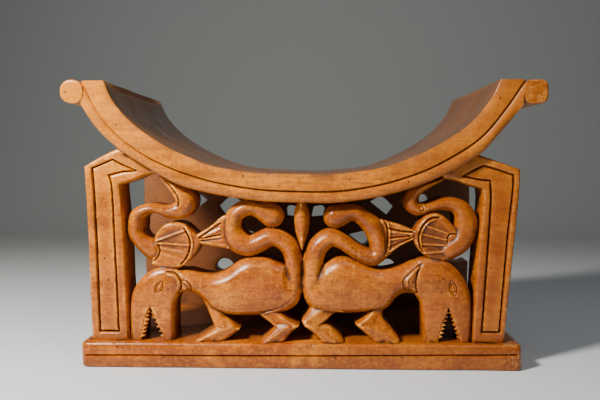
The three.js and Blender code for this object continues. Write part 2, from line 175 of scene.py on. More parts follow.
rightShapes = {
    "tail": [
        (48, 61, 2), (29, 65, 7), (17, 73, 11), (12.8, 86, 12), (12.6, 104, 12.1), (13, 119, 12.1),
        (19, 136, 11.8), (33, 146, 10.9), (46, 142, 9.4), (58, 134, 8.8), (69, 127, 9), (82, 123, 9.6),
        (90, 131, 10.5), (89, 143, 11), (84, 157, 11.8), (72, 169, 10), (58, 176, 9.8), (39, 171, 14),
    ],
    "neck": [
        (143, 180, 5.6), (155, 184, 6.4), (166, 186, 8), (177, 184, 8.9), (186, 177, 10.7),
        (190, 166, 12.6), (189, 154, 12.4), (183, 141, 12.1), (170, 132, 11.5),
    ],
    "beak": [
        (161, 214, 1.6), (149, 209, 3), (137, 203.5, 4.6), (129, 197, 6.8), (126.5, 187, 8.8),
        (132, 180.5, 8), (140, 180, 6.6),
    ],
    "body": [
        (-0.6, 88), (4.5, 77), (14, 66), (27, 60), (50, 58), (73, 59.5), (93, 62), (101, 66), (109, 76),
        (119, 82), (136, 82), (156, 92), (154, 110), (134, 120), (113, 113), (96, 109), (84, 110),
        (69, 116), (53, 123), (40, 123.5), (27, 116), (14, 109), (0, 104),
    ],
    "head": [
        (142, 18, 1), (195, 18, 1), (196, 66), (193, 88), (185, 103), (174, 115), (164, 120), (150, 123),
        (134, 121), (128, 108), (125, 92), (131, 81), (138, 69), (140, 46),
    ],
    "mouth": [
        (158, 15, 1), (159, 34), (162, 48), (167, 60), (169, 66.5, 1), (172, 60), (177, 46), (182, 32),
        (185, 15, 1),
    ],
    "foreleg": [
        (84, 68, 1), (75, 56.5), (62, 47, 1), (66, 43), (75, 35), (91, 23), (113, 23, 1), (113, 30),
        (104, 42), (94, 55), (98, 70, 1),
    ],
    "hindleg": [
        (14, 70, 1), (0, 50.5, 1), (3, 45), (12, 38), (19, 32), (27, 23.5), (49, 23.5, 1), (48.5, 28.5),
        (38, 40), (30, 45.5), (21, 45.5, 1), (27, 50), (46, 66, 1),
    ],
    "wing": [
        (168, 121.5), (177, 133, 1), (180, 150), (170, 166), (158, 175), (147, 175.5), (136, 166),
        (130, 155), (129, 144), (138, 130), (151, 122),
    ],
    "fan": [(130, 155, 1), (113, 162), (91, 168, 1), (90, 126, 1), (97, 124), (113, 137), (131, 146, 1)],
}

# how far each kind of form stands out (crown), how it rounds over, and its slight dome;
# more than one value follows the height, as carvingValues says
reliefs = {
    "post": {"crown": 0, "round": 1.8, "rise": 1.6, "dome": 0},
    "head": {"crown": 2, "round": (4.5, 9), "rise": 5, "dome": 1.6},
    "body": {"crown": 3, "round": (7, 14), "rise": 9, "dome": 2.6},
    "foreleg": {"crown": (6, 4, -3), "round": 2.6, "rise": 2.4, "dome": 0, "bow": 1.15},
    "hindleg": {"crown": (8, 6, -2), "round": 2.6, "rise": 2.4, "dome": 0, "bow": 1.15},
    "wing": {"crown": -1.4, "round": 3, "rise": 2.6, "dome": -1.6},
    "fan": {"crown": -2.6, "round": 1.8, "rise": 2, "dome": 0},
    "tail": {"crown": 2.6, "round": 11, "rise": 9, "dome": 0},
    "neck": {"crown": 1, "round": 9, "rise": 8, "dome": 0},
    "beak": {"crown": 1.5, "round": 9, "rise": 8, "dome": 0},
    "drop": {"crown": 0.5, "rise": 7, "dome": 0},
}

# lines cut into a form (positive depth) or ridges standing on it (negative): path, width, depth
leftLines = {
    "wing": [
        ([(-170, 142.5), (-152, 149), (-136, 155)], 3, -1.7), ([(-168, 139.5), (-131, 137)], 3, -1.6),
        ([(-165, 134), (-132, 127.5)], 3.4, -0.9), ([(-164, 127.5), (-137, 119)], 3.4, -0.6),
        ([(-137, 157), (-132, 147.5), (-130.4, 140), (-131.2, 132), (-134.2, 124), (-141, 115)], 2.6, 2.2),
        ([(-135, 159), (-129.4, 148), (-127.8, 140), (-128.6, 131), (-131.6, 122), (-138, 113.5)], 3.4, -1.5),
        ([(-168, 138), (-165.8, 133), (-166.6, 127), (-171, 120.5), (-177, 117.5)], 2.4, 1.8),
    ],
    "fan": [
        ([(-119.5, 146.4), (-95, 163)], 2.4, 2.4), ([(-119, 145), (-94, 150)], 2, 2),
        ([(-118, 142.6), (-94, 144.5)], 2, 0.8), ([(-118, 144.8), (-95, 156.5)], 4.4, -1),
        ([(-119, 143.8), (-94, 147.4)], 2.4, -0.9), ([(-119, 141.2), (-89, 137.4)], 2.6, -1.2),
    ],
    "ear": [
        ([(-157, 106.5), (-149, 105.5), (-142.5, 100), (-140, 92), (-141.5, 86), (-145, 81)], 2.6, 1.9),
        ([(-139, 97), (-134, 96.5), (-129, 90), (-129.5, 85), (-136, 83.2), (-144, 81)], 2.4, 1.7),
        ([(-155, 103.5), (-147, 101), (-143.5, 95), (-144, 87)], 3, -0.8),
        ([(-137.5, 94), (-132.5, 89)], 3, 0.8),
    ],
    "foreleg": [
        ([(-106, 74), (-99, 57), (-90, 43)], 18, -2.8), ([(-84, 42), (-102, 35.5), (-126, 24)], 16, -3),
    ],
    "hindleg": [
        ([(-46, 64), (-28, 56), (-9, 46)], 18, -2.8), ([(-16, 44.5), (-31, 34.5), (-44, 23.5)], 16, -3),
    ],
    "beak": [
        ([(-160, 214), (-154, 208), (-148.5, 201.5), (-144.4, 195), (-142.6, 189), (-144, 183)], 2.4, 2.2),
        ([(-161, 210), (-156, 205), (-151, 199), (-147.5, 193), (-146.2, 188), (-148, 184)], 3, -1),
    ],
}
rightLines = {
    "wing": [
        ([(145, 160), (168, 151.8)], 2.6, -1.3), ([(137.5, 151), (167, 144.4)], 2.6, -1.6),
        ([(138, 139.6), (168, 138)], 2.8, -1.6), ([(141, 129), (174, 131.8)], 3.6, -1.6),
        ([(135.5, 151.5), (138.6, 160), (144, 166.6), (150.5, 170), (158, 170.6)], 2.2, 2),
        ([(134, 155.5), (137.5, 163), (143.5, 169.5), (150, 172.8), (158, 173)], 2.6, -1.2),
        ([(138, 136), (136.8, 146), (138, 154), (141.6, 160.6), (146.6, 165.4), (153, 168)], 2.4, -1.4),
        ([(134.6, 152), (134.4, 146), (136, 137), (140, 130)], 2.4, 1.8),
        ([(178, 151.6), (171, 151.4), (168, 148), (167.4, 144), (168.4, 139), (169.6, 135), (171, 130)],
         2.2, 1.8),
    ],
    "fan": [
        ([(128, 153.4), (114, 154.6), (100, 158)], 2.4, 2.2), ([(128, 151), (100, 154)], 3, -1.2),
        ([(125, 148.6), (101, 147)], 2, 1.6), ([(126, 148), (101, 144)], 2.6, -1.1),
        ([(126, 146.6), (101, 136)], 2, 1.4), ([(128, 145.6), (101, 131)], 3, -1.4),
        ([(94, 168), (98, 160), (99, 147), (98, 135), (94, 125)], 2.4, 2.2),
        ([(97, 168), (100.4, 159), (101.4, 147), (100.4, 135), (96.5, 125)], 2.8, -1.4),
    ],
    "ear": [
        ([(138, 117), (133.5, 108), (131.5, 98), (131.5, 90), (133, 84)], 2.8, 1.5),
        ([(137, 117), (125, 108), (116.5, 98), (117.5, 91), (120, 87), (127, 86), (133, 83)], 2.4, 1.3),
        ([(134.6, 113), (125, 104), (120.6, 98), (121.4, 92)], 3, -0.9), ([(134, 110), (129, 96)], 5, 0.9),
    ],
    "foreleg": [
        ([(66, 46), (80, 57), (91, 69)], 16, -3), ([(70, 45), (92, 38), (107, 27)], 18, -2.6),
    ],
    "hindleg": [([(4, 49.5), (17, 58), (32, 68)], 16, -3), ([(6, 47), (22, 38), (39, 26)], 17, -2.6)],
    "beak": [
        ([(160, 212.6), (150, 208.6), (141, 204), (135.6, 199.6), (133.2, 195.4), (133, 191)], 2.2, 2),
        ([(160, 210.4), (150, 205.6), (142, 201), (137, 196.4), (136, 191)], 2.6, -1),
    ],
}
leftEyes = {
    "head": [
        {"middle": (-166, 89), "long": 17, "wide": 8, "turn": 58, "deep": 1.5},
        {"middle": (-166, 89), "long": 11, "wide": 4, "turn": 58, "deep": 1.1},
    ],
}
rightEyes = {
    "head": [
        {"middle": (174, 89), "long": 19, "wide": 8, "turn": -76, "deep": 1.3},
        {"middle": (174, 89), "long": 12, "wide": 3.8, "turn": -76, "deep": 0.9},
    ],
    "beak": [{"middle": (137.5, 181), "radius": 2.6, "deep": 1.5}],
}
backEyes = {"head": [{"middle": (172, 72), "long": 14, "wide": 7, "turn": -60, "deep": 2}]}

# the back panel's +X half, mirrored for the other; its figures stand on a ground pierced in a few places

backPost = {
    "outline": [
        (235.5, 23, 1), (237.5, 110), (238, 170), (237, 224, 1), (222, 232), (203, 243, 1), (190, 248, 1),
        (162, 229, 1), (172, 216), (192, 210), (203, 203, 1), (205, 132), (204, 23, 1),
    ],
    "band": [(228, 36, 1), (230, 120), (229, 214, 1), (213, 221, 1), (212, 120), (212, 36, 1)],
}
backShapes = {
    "tail": [
        (11, 60, 10), (11, 85, 10.5), (16, 102, 10.5), (32, 110, 10), (48, 104, 9), (64, 98, 9.5),
        (84, 99, 10.5), (101, 109, 11.5), (106, 127, 11), (97, 144, 11), (80, 147, 11), (60, 141, 11),
        (42, 139, 13),
    ],
    "neck": [
        (138, 183, 8.6), (146, 188, 7), (158, 195, 7), (172, 197, 7.6), (186, 190, 8.4), (194, 175, 9.2),
        (195, 154, 10), (188, 134, 11), (174, 120, 12),
    ],
    "beak": [(178, 222, 2.4), (162, 212, 4.4), (147, 203, 6.2), (137, 193, 8.6), (138, 184, 9)],
    "body": [
        (-2, 66), (6, 52), (24, 42), (60, 38), (90, 38), (108, 44), (124, 49), (144, 56), (156, 74),
        (140, 80), (128, 72), (114, 68), (100, 70), (84, 76), (66, 86), (48, 92), (28, 88), (10, 80),
    ],
    "head": [
        (142, 18, 1), (196, 18, 1), (198, 60), (190, 78), (174, 90), (156, 92), (140, 84), (134, 72),
        (138, 60),
    ],
    "mouth": [(155, 15, 1), (158, 38), (164, 56, 1), (172, 40), (177, 15, 1)],
    "foreleg": [(90, 46, 1), (76, 36, 1), (84, 23, 1), (112, 23, 1), (106, 36), (106, 52, 1)],
    "hindleg": [(20, 48, 1), (8, 37, 1), (18, 23, 1), (46, 23, 1), (38, 36), (44, 48, 1)],
    "wing": [
        (133, 128), (140, 112), (158, 104), (176, 110), (186, 128), (184, 148), (170, 160), (150, 160),
        (137, 148),
    ],
    "fan": [(108, 112, 1), (122, 118), (136, 126, 1), (136, 138, 1), (122, 148), (108, 154, 1)],
}
backLines = {
    "wing": [
        ([(146, 148), (178, 136)], 3.4, -1.6), ([(146, 137), (181, 128)], 3.4, -1.6),
        ([(148, 126), (177, 119)], 3.4, -1.6),
        ([(160, 157), (146, 151), (140, 138), (143, 121), (152, 112)], 2.6, 2),
    ],
    "fan": [
        ([(113, 148), (133, 134)], 2.6, 2), ([(112, 133), (133, 132)], 2.6, 2),
        ([(113, 118), (133, 130)], 2.6, 2),
    ],
    "ear": [([(140, 84), (134, 78), (128, 66), (134, 58)], 2.8, 2.2)],
}
groundValues = {
    "outline": [
        (-220, 20, 1), (220, 20, 1), (220, 236, 1), (199, 246), (155, 222), (103, 203), (49, 194), (0, 193),
        (-49, 194), (-103, 203), (-155, 222), (-199, 246), (-220, 236, 1),
    ],
    "openings": [
        [(8, 153, 1), (12, 169, 1), (26, 169), (27, 155, 1)],
        [(94, 176, 1), (110, 183), (128, 169, 1), (119, 156, 1)],
        [(144, 178, 1), (151, 184), (166, 187), (177, 184), (176, 172), (162, 165, 1)],
        [(64, 128, 1), (92, 135, 1), (94, 118), (86, 110), (72, 112)],
        [(103, 67, 1), (107, 84), (115, 91), (124, 91), (132, 82), (134, 67, 1)],
    ],
    "behindFace": 20,
    "waver": {"much": 1.2, "waves": (14, 60), "seed": 23},
    "edgeFall": 2,
    "edgeWidth": 2.5,
}
lostPost = {"low": 88, "high": 139, "inner": 206.5, "ragged": {"much": 2.2, "waves": (7, 26), "seed": 21}}

# wood: honey coloured and waxed, dark in the hollows, pale where it is rubbed
# four values of a range: where it starts and ends, and how much there

woodValues = {
    "dark": (0.035, 0.008, 0.001, 1),
    "deep": (0.19, 0.038, 0.002, 1),
    "middle": (0.42, 0.094, 0.0015, 1),
    "pale": (0.78, 0.27, 0.012, 1),
    "bare": (1, 0.5, 0.12, 1),
    "seatTop": (0.085, 0.036, 0.016, 1),
    # the inside: duller wood that was never polished, darkened further as painted shade where little light
    # reaches
    "unpolishedAndShaded": (0.13, 0.038, 0.007, 1),
    "stretches": {  # along x, y and z, and the turn about y
        "lengthways": ((3.5, 34, 34), 0),
        "fine": ((40, 420, 420), 0),
        "upright": ((330, 60, 16), 0.12),
    },
    "patterns": {  # stretch, scale, detail and roughness
        "cloud": ("", 9, 2, 0.55),
        "patch": ("", 26, 5, 0.7),
        "streak": ("lengthways", 1.6, 5, 0.62),
        "grain": ("lengthways", 5, 4, 0.55),
        "pores": ("fine", 1, 2, 0.5),
        "scratch": ("upright", 1, 2, 0.55),
        "mottle": ("", 85, 5, 0.65),
        "grit": ("", 330, 3, 0.6),
        "rubbing": ("", 38, 4, 0.55),
        "chips": ("", 190, 4, 0.75),
        "pitted": ("", 19, 3, 0.55),
        "gloss": ("", 24, 3, 0.55),
    },
    "layers": [  # laid over the streaks in turn: pattern, where it starts and is full, how much, colour
        ("cloud", 0.4, 0.66, 0.2, "pale"),
        ("patch", 0.5, 0.64, 0.4, "pale"),
        ("patch", 0.46, 0.34, 0.62, "deep"),
        ("pores", 0.54, 0.7, 0.75, "deep"),
        ("mottle", 0.5, 0.67, 0.72, "deep"),
        ("scratch", 0.66, 0.78, 0.5, "pale"),
        ("grit", 0.52, 0.68, 0.55, "deep"),
        ("grit", 0.47, 0.3, 0.35, "pale"),
    ],
    "streaks": (0.34, 0.68),
    # painted light: the wood grows paler towards the top, where more light falls
    "paintedLightAbove": (0.15, 0.25, 0, 0.75),
    # painted light again: the highest parts paler still
    "paintedLightTop": (0.18, 0.3, 0, 0.4),
    # painted shade: the right side darker, away from the light
    "paintedShadeRight": (0, 0.26, 0, 0.62),
    "rubbedEdges": (0.36, 0.85),
    "rubbedPatches": (0.38, 0.6, 0.2, 1),
    "chippedEdges": (0.5, 0.9),
    "postLean": 0.074,  # the right post leans outwards, and its outer edge is chipped
    "postEdge": (0.2262, 0.231, 0, 0.8),
    "bareChips": (0.52, 0.58, 0, 0.7),
    "deepChips": (0.46, 0.38, 0, 0.8),
    "inside": (0, 1, 0, 0.85),
    "satOn": (0.3, 0.7, 0.95, 0.75),
    "hollows": (-0.06, -0.6),
    "grimePatches": (0.3, 0.7, 1, 0.75),
    "pitScale": 60,
    "pitSize": (0.11, 0.06),
    "pitPatches": (0.47, 0.53),
    "pitDark": 0.8,
    "roughness": (0.3, 0.7, 0.22, 0.38),
    "duller": 0.2,  # more roughness in the hollows and inside
    "specular": 0.42,
    "grainBump": 0.2,
    "bumpDistance": 0.002,
    "heights": {"grain": 0.5, "mottle": 0.7, "grit": 0.3, "pits": -1.2},
}


class Wiring:  # short ways to lay out a tree's nodes
    def __init__(self, tree):
        self.tree = tree

    def node(self, kind, wires=(), **settings):
        made = self.tree.nodes.new(kind if "Node" in kind else "ShaderNode" + kind)
        for key, value in settings.items():
            setattr(made, key, value)
        for socket, value in dict(wires).items():
            self.wire(made.inputs[socket], value)
        return made

    def wire(self, socket, value):
        if isinstance(value, bpy.types.NodeSocket):
            self.tree.links.new(value, socket)
        else:
            socket.default_value = value

    def noise(self, vector, scale, detail, roughness):
        sockets = {"Vector": vector, "Scale": scale, "Detail": detail, "Roughness": roughness}
        return self.node("TexNoise", sockets).outputs["Fac"]

    def span(self, value, low, high, toLow=0.0, toHigh=1.0):
        return self.node("MapRange", {0: value, 1: low, 2: high, 3: toLow, 4: toHigh}).outputs[0]

    def maths(self, operation, a, b):
        return self.node("Math", {0: a, 1: b}, operation=operation).outputs[0]

    def times(self, a, b):
        return self.maths("MULTIPLY", a, b)

    def blend(self, amount, a, b):
        return self.node("Mix", {0: amount, 6: a, 7: b}, data_type="RGBA").outputs[2]


def newMaterial(name):
    material = bpy.data.materials.new(name)
    material.use_nodes = True
    return material, Wiring(material.node_tree), material.node_tree.nodes["Principled BSDF"].inputs


def makeWood(v):
    material, s, shader = newMaterial("honeyWood")
    place = s.node("TexCoord").outputs["Object"]
    across, _, up = s.node("SeparateXYZ", {0: place}).outputs
    relief, seatTop, inner = (s.node("Attribute", attribute_name=name).outputs["Fac"]
                              for name in ("relief", "seatTop", "inner"))
    spaces = {}
    for name, (stretch, turn) in v["stretches"].items():
        mapping = s.node("Mapping", {"Vector": place, "Rotation": (0, turn, 0), "Scale": stretch})
        spaces[name] = mapping.outputs[0]
    seen = {name: s.noise(spaces.get(space, place), *sizes)
            for name, (space, *sizes) in v["patterns"].items()}

    # painted light: paler towards the top
    ground = s.blend(s.span(up, *v["paintedLightAbove"]), v["middle"], v["pale"])
    colour = s.blend(s.span(seen["streak"], *v["streaks"]), v["deep"], ground)
    for name, low, high, most, paint in v["layers"]:
        colour = s.blend(s.span(seen[name], low, high, 0, most), colour, v[paint])

    rubbed = s.times(s.span(relief, *v["rubbedEdges"]), s.span(seen["rubbing"], *v["rubbedPatches"]))
    fromMiddle = s.maths("SUBTRACT", across, s.times(up, v["postLean"]))
    edge = s.maths("MAXIMUM", s.span(relief, *v["chippedEdges"]), s.span(fromMiddle, *v["postEdge"]))
    grime = s.times(s.span(relief, *v["hollows"]), s.span(seen["mottle"], *v["grimePatches"]))
    pits = s.node("TexVoronoi", {"Vector": place, "Scale": v["pitScale"]}).outputs["Distance"]
    pits = s.times(s.span(pits, *v["pitSize"]), s.span(seen["pitted"], *v["pitPatches"]))
    for mask, paint in (
        (rubbed, "pale"),
        # painted light on the highest parts
        (s.span(up, *v["paintedLightTop"]), "pale"),
        (s.times(edge, s.span(seen["chips"], *v["bareChips"])), "bare"),
        (s.times(edge, s.span(seen["chips"], *v["deepChips"])), "deep"),
        # painted shade on the right side
        (s.span(across, *v["paintedShadeRight"]), "deep"),
        # painted shade inside the stool, with its duller colour
        (s.span(inner, *v["inside"]), "unpolishedAndShaded"),
        (s.times(seatTop, s.span(seen["cloud"], *v["satOn"])), "seatTop"),
        (grime, "dark"),
        (s.times(pits, v["pitDark"]), "dark"),
    ):
        colour = s.blend(mask, colour, v[paint])

    rough = s.span(seen["gloss"], *v["roughness"])
    rough = s.maths("ADD", rough, s.times(s.maths("ADD", inner, grime), v["duller"]))
    height = None
    for name, share in v["heights"].items():
        part = s.times(pits if name == "pits" else seen[name], share)
        height = part if height is None else s.maths("ADD", height, part)
    bump = s.node("Bump", {"Height": height, "Strength": v["grainBump"], "Distance": v["bumpDistance"]})
    s.wire(shader["Base Color"], colour)
    s.wire(shader["Roughness"], rough)
    s.wire(shader["Specular IOR Level"], v["specular"])
    s.wire(shader["Normal"], bump.outputs[0])
    return material


wood = makeWood(woodValues)
print("wood", len(wood.node_tree.nodes), "nodes")


# outlines and distances

def curveThrough(points, closed=True, spacing=2.5):  # smooth through the points, straight into sharp ones
    place = np.array([p[:2] for p in points], float)
    sharp = [len(p) > 2 and p[2] == 1 for p in points]
    count = len(place)
    around = np.roll(place, -1, 0) - np.roll(place, 1, 0)
    around /= np.linalg.norm(around, axis=1)[:, None]
    line = []
    for i in range(count if closed else count - 1):
        j = (i + 1) % count
        chord = place[j] - place[i]
        span = np.linalg.norm(chord)
        atEnd = not closed and i == 0, not closed and j == count - 1
        leave = chord if sharp[i] or atEnd[0] else around[i] * span
        arrive = chord if sharp[j] or atEnd[1] else around[j] * span
        t = np.linspace(0, 1, max(2, round(span / spacing)) + 1)[:-1, None]
        line.append((2 * t**3 - 3 * t**2 + 1) * place[i] + (t**3 - 2 * t**2 + t) * leave
                    + (3 * t**2 - 2 * t**3) * place[j] + (t**3 - t**2) * arrive)
    if not closed:
        line.append(place[-1:])
    return np.concatenate(line)


def limbThrough(stations, spacing=2.5):  # Catmull-Rom through x, z and half-width
    knots = np.array(stations, float)
    padded = np.concatenate([2 * knots[:1] - knots[1:2], knots, 2 * knots[-1:] - knots[-2:-1]])
    line = []
    for a, b, c, d in zip(padded, padded[1:], padded[2:], padded[3:]):
        t = np.linspace(0, 1, max(2, round(np.linalg.norm((c - b)[:2]) / spacing)) + 1)[:-1, None]
        line.append(0.5 * (2 * b + (c - a) * t + (2 * a - 5 * b + 4 * c - d) * t**2
                           + (3 * b - a - 3 * c + d) * t**3))
    return np.concatenate(line + [knots[-1:]])


def toSegment(px, pz, a, b):  # how far along it the nearest place lies, and the way from there in x and z
    ex, ez = b[0] - a[0], b[1] - a[1]
    t = np.clip(((px - a[0]) * ex + (pz - a[1]) * ez) / (ex * ex + ez * ez + 1e-12), 0, 1)
    return t, px - a[0] - t * ex, pz - a[1] - t * ez


class Plan:  # the upright sheet of points that a panel is worked out on
    margin = 14.0

    def __init__(self, low, high, step):
        self.xs = np.arange(low[0], high[0] + step, step)
        self.zs = np.arange(low[1], high[1] + step, step)
        self.x, self.z = np.meshgrid(self.xs, self.zs, indexing="ij")
        self.step = step

    def window(self, points, reach):  # the points of the sheet near some others
        points = np.asarray(points)[:, :2]
        low, high = points.min(0) - reach, points.max(0) + reach
        across, up = (np.searchsorted(line, ends) for line, ends in zip((self.xs, self.zs), zip(low, high)))
        w = slice(*across), slice(*up)
        return w, self.x[w], self.z[w]

    def depth(self, outline):  # how far inside an outline each point lies, less than nothing outside
        w, px, pz = self.window(outline, self.margin)
        nearest = np.full(px.shape, 1e9)
        inside = np.zeros(px.shape, bool)
        for a, b in zip(outline, np.roll(outline, -1, 0)):
            _, dx, dz = toSegment(px, pz, a, b)
            nearest = np.minimum(nearest, dx**2 + dz**2)
            if a[1] != b[1]:
                crossed = (b[0] - a[0]) * (pz - a[1]) / (b[1] - a[1]) + a[0]
                inside ^= ((a[1] > pz) != (b[1] > pz)) & (px < crossed)
        result = np.full(self.x.shape, -self.margin)
        result[w] = np.maximum(np.where(inside, 1, -1) * np.sqrt(nearest), -self.margin)
        return result

    def limb(self, line):  # the same along a limb, with its half-width beside each point
        w, px, pz = self.window(line, self.margin + line[:, 2].max())
        best = np.full(px.shape, -1e9)
        half = np.ones(px.shape)
        for a, b in zip(line, line[1:]):
            t, dx, dz = toSegment(px, pz, a, b)
            r = a[2] + t * (b[2] - a[2])
            d = r - np.hypot(dx, dz)
            better = d > best
            best, half = np.where(better, d, best), np.where(better, r, half)
        result, width = np.full(self.x.shape, -self.margin), np.ones(self.x.shape)
        result[w], width[w] = np.maximum(best, -self.margin), half
        return result, width

    def near(self, path, reach):  # distance to an open line, inside a window round it
        path = np.array([p[:2] for p in path], float)
        w, px, pz = self.window(path, reach)
        nearest = np.full(px.shape, 1e9)
        for a, b in zip(path, path[1:]):
            nearest = np.minimum(nearest, np.hypot(*toSegment(px, pz, a, b)[1:]))
        return w, nearest


def unevenness(a, b, seed, waves=(24, 75), count=14):  # the slow waver of a surface cut by eye, about -1 to 1
    r = np.random.default_rng(seed)
    total = np.zeros(np.shape(a))
    for _ in range(count):
        length, turn, start = r.uniform(*waves), r.uniform(0, math.tau), r.uniform(0, math.tau)
        total += np.sin(math.tau * (a * math.cos(turn) + b * math.sin(turn)) / length + start)
    return total / math.sqrt(count * 2)


def wavering(a, b, v):
    return v["much"] * unevenness(a, b, v["seed"], v["waves"])


def chips(a, b, v):  # the waver's peaks alone
    return v["much"] * np.clip(unevenness(a, b, v["seed"], v["waves"]) - v["above"], 0, 1)


def wornBack(a, b, v):  # never proud of the drawn face
    return np.minimum(0, wavering(a, b, v) - v["below"])


def ramp(value, low, high):  # 0 at low, 1 at high
    return np.clip((value - low) / (high - low), 0, 1)


def softStep(share):
    share = np.clip(share, 0, 1)
    return share * share * (3 - 2 * share)


# one openwork panel: which points are wood, and how far each stands out

carvingValues = {
    "crownLevels": (24, 44, 62),  # heights at which a leg's three crowns hold
    "roundLevels": (66, 104),  # and a body's two roundings: tight below, broad above
    "domeReach": 22,
    "outsideFall": 3.5,  # how fast a form falls away outside its outline
    "crestFrom": 10,  # lines broader than this are crests like a roof
    "steepness": 1.35,  # how soon a cut has its full depth
    "ringWidth": 1.9,
    "mouthLip": 1.2,
    "behindHead": 1.5,
    "headWidth": 6,
    "besideTail": 3.4,
    "tailWidth": (-2.5, 2.5),
    "tailHeights": (80, 98),
    "postBand": 0.2,
    "postEdge": -2.6,
    "postBead": 4.4,
    "postGroove": 2.6,
    "postGrooveHalf": 1.4,
    "postSteepness": 1.5,
}


def cutLines(plan, height, lines):  # crests run into each other
    v = carvingValues
    crests = np.zeros(height.shape)
    for path, width, deep in lines:
        path = curveThrough(path, closed=False) if len(path) > 2 else path
        w, gap = plan.near(path, width)
        share = 1 - ramp(gap, 0, width / 2)
        if width > v["crestFrom"]:
            crests[w] = np.maximum(crests[w], -deep * share)
        else:
            height[w] -= deep * softStep(v["steepness"] * share)
    height += crests


def cutRing(plan, height, ring):  # round, or pointed at both ends as an eye is
    v = carvingValues
    x, z = plan.x - ring["middle"][0], plan.z - ring["middle"][1]
    if "radius" in ring:
        gap = np.abs(np.hypot(x, z) - ring["radius"])
    else:
        turn = math.radians(ring["turn"])
        along, across = x * math.cos(turn) + z * math.sin(turn), z * math.cos(turn) - x * math.sin(turn)
        bow = ring["wide"] / 2 * (1 - np.clip(np.abs(along) / ring["long"] * 2, 0, 1.3) ** 2)
        gap = np.abs(np.abs(across) - bow) + np.clip(np.abs(along) - ring["long"] / 2, 0, None)
    height -= ring["deep"] * np.clip(v["steepness"] * (1 - gap / (v["ringWidth"] / 2)), 0, 1)


def carvePanel(plan, posts, sides, seed):
    v = carvingValues
    wood = np.full(plan.x.shape, -plan.margin)
    height = np.full(plan.x.shape, -60.0)  # far behind every form
    waver = unevenness(plan.x, plan.z, seed)

    def byHeight(value, levels):
        return value if np.isscalar(value) else np.interp(plan.z, levels, value)

    def lay(kind, inside, own, radius=None, shaping=None):  # shaping: the depth that the rounding follows
        nonlocal wood, height
        r = reliefs[kind]
        shaping = inside if shaping is None else shaping
        radius = byHeight(r["round"], v["roundLevels"]) if radius is None else radius
        falls = r["rise"] * (1 - ramp(shaping, 0, radius)) ** r.get("bow", 2)
        shape = byHeight(r["crown"], v["crownLevels"]) - falls + r["dome"] * ramp(shaping, 0, v["domeReach"])
        shape += np.where(inside < 0, v["outsideFall"] * inside, 0)
        wood, height = np.maximum(wood, inside), np.maximum(height, shape + own)

    for post in posts:
        inside = plan.depth(curveThrough(post["outline"]))
        band = plan.depth(curveThrough(post["band"]))
        across = ramp(inside, 0, np.maximum(inside - band, 0.01))  # 0 at the outer edge, 1 at the band
        bead = v["postEdge"] + v["postBead"] * np.clip(1 - (2 * across - 1) ** 4, 0, 1) ** 0.7
        bead = np.where(band > 0, v["postBand"], bead)
        groove = v["postSteepness"] * (1 - np.abs(band) / v["postGrooveHalf"])
        bead -= v["postGroove"] * np.clip(groove, 0, 1)
        lay("post", inside, np.where(inside > 0, bead, 0))
    for shapes, lines, rings in sides:
        mouth, head, body = (plan.depth(curveThrough(shapes[kind])) for kind in ("mouth", "head", "body"))
        for kind, shape in shapes.items():
            if kind == "mouth":
                continue
            own = np.zeros(plan.x.shape)
            cutLines(plan, own, lines["ear"] if kind in ("head", "body") else lines.get(kind, []))
            for ring in rings.get(kind, []):
                cutRing(plan, own, ring)
            if kind in ("tail", "neck", "beak"):
                inside, half = plan.limb(limbThrough(shape))
                lay(kind, inside, own, np.minimum(half, reliefs[kind]["round"]))
            elif kind == "head":  # head and body run into each other, so they share their rounding
                own -= v["mouthLip"] * np.clip(1 + mouth / v["mouthLip"], 0, 1)
                lay(kind, np.minimum(head, -mouth), own, shaping=np.maximum(head, body))
            elif kind == "body":
                tail = plan.limb(limbThrough(shapes["tail"]))[0]
                beside = ramp(tail, *v["tailWidth"]) * ramp(plan.z, *v["tailHeights"])
                own -= v["behindHead"] * ramp(head, 0, v["headWidth"]) + v["besideTail"] * beside
                lay(kind, np.minimum(body, -mouth), own, shaping=np.maximum(head, body))
            else:
                lay(kind, plan.depth(curveThrough(shape)), own)
    inside, half = plan.limb(limbThrough(dropStations))
    lay("drop", inside, 0, half)
    return wood + panelValues["outlineWaver"] * waver, height + panelValues["handWaver"] * waver


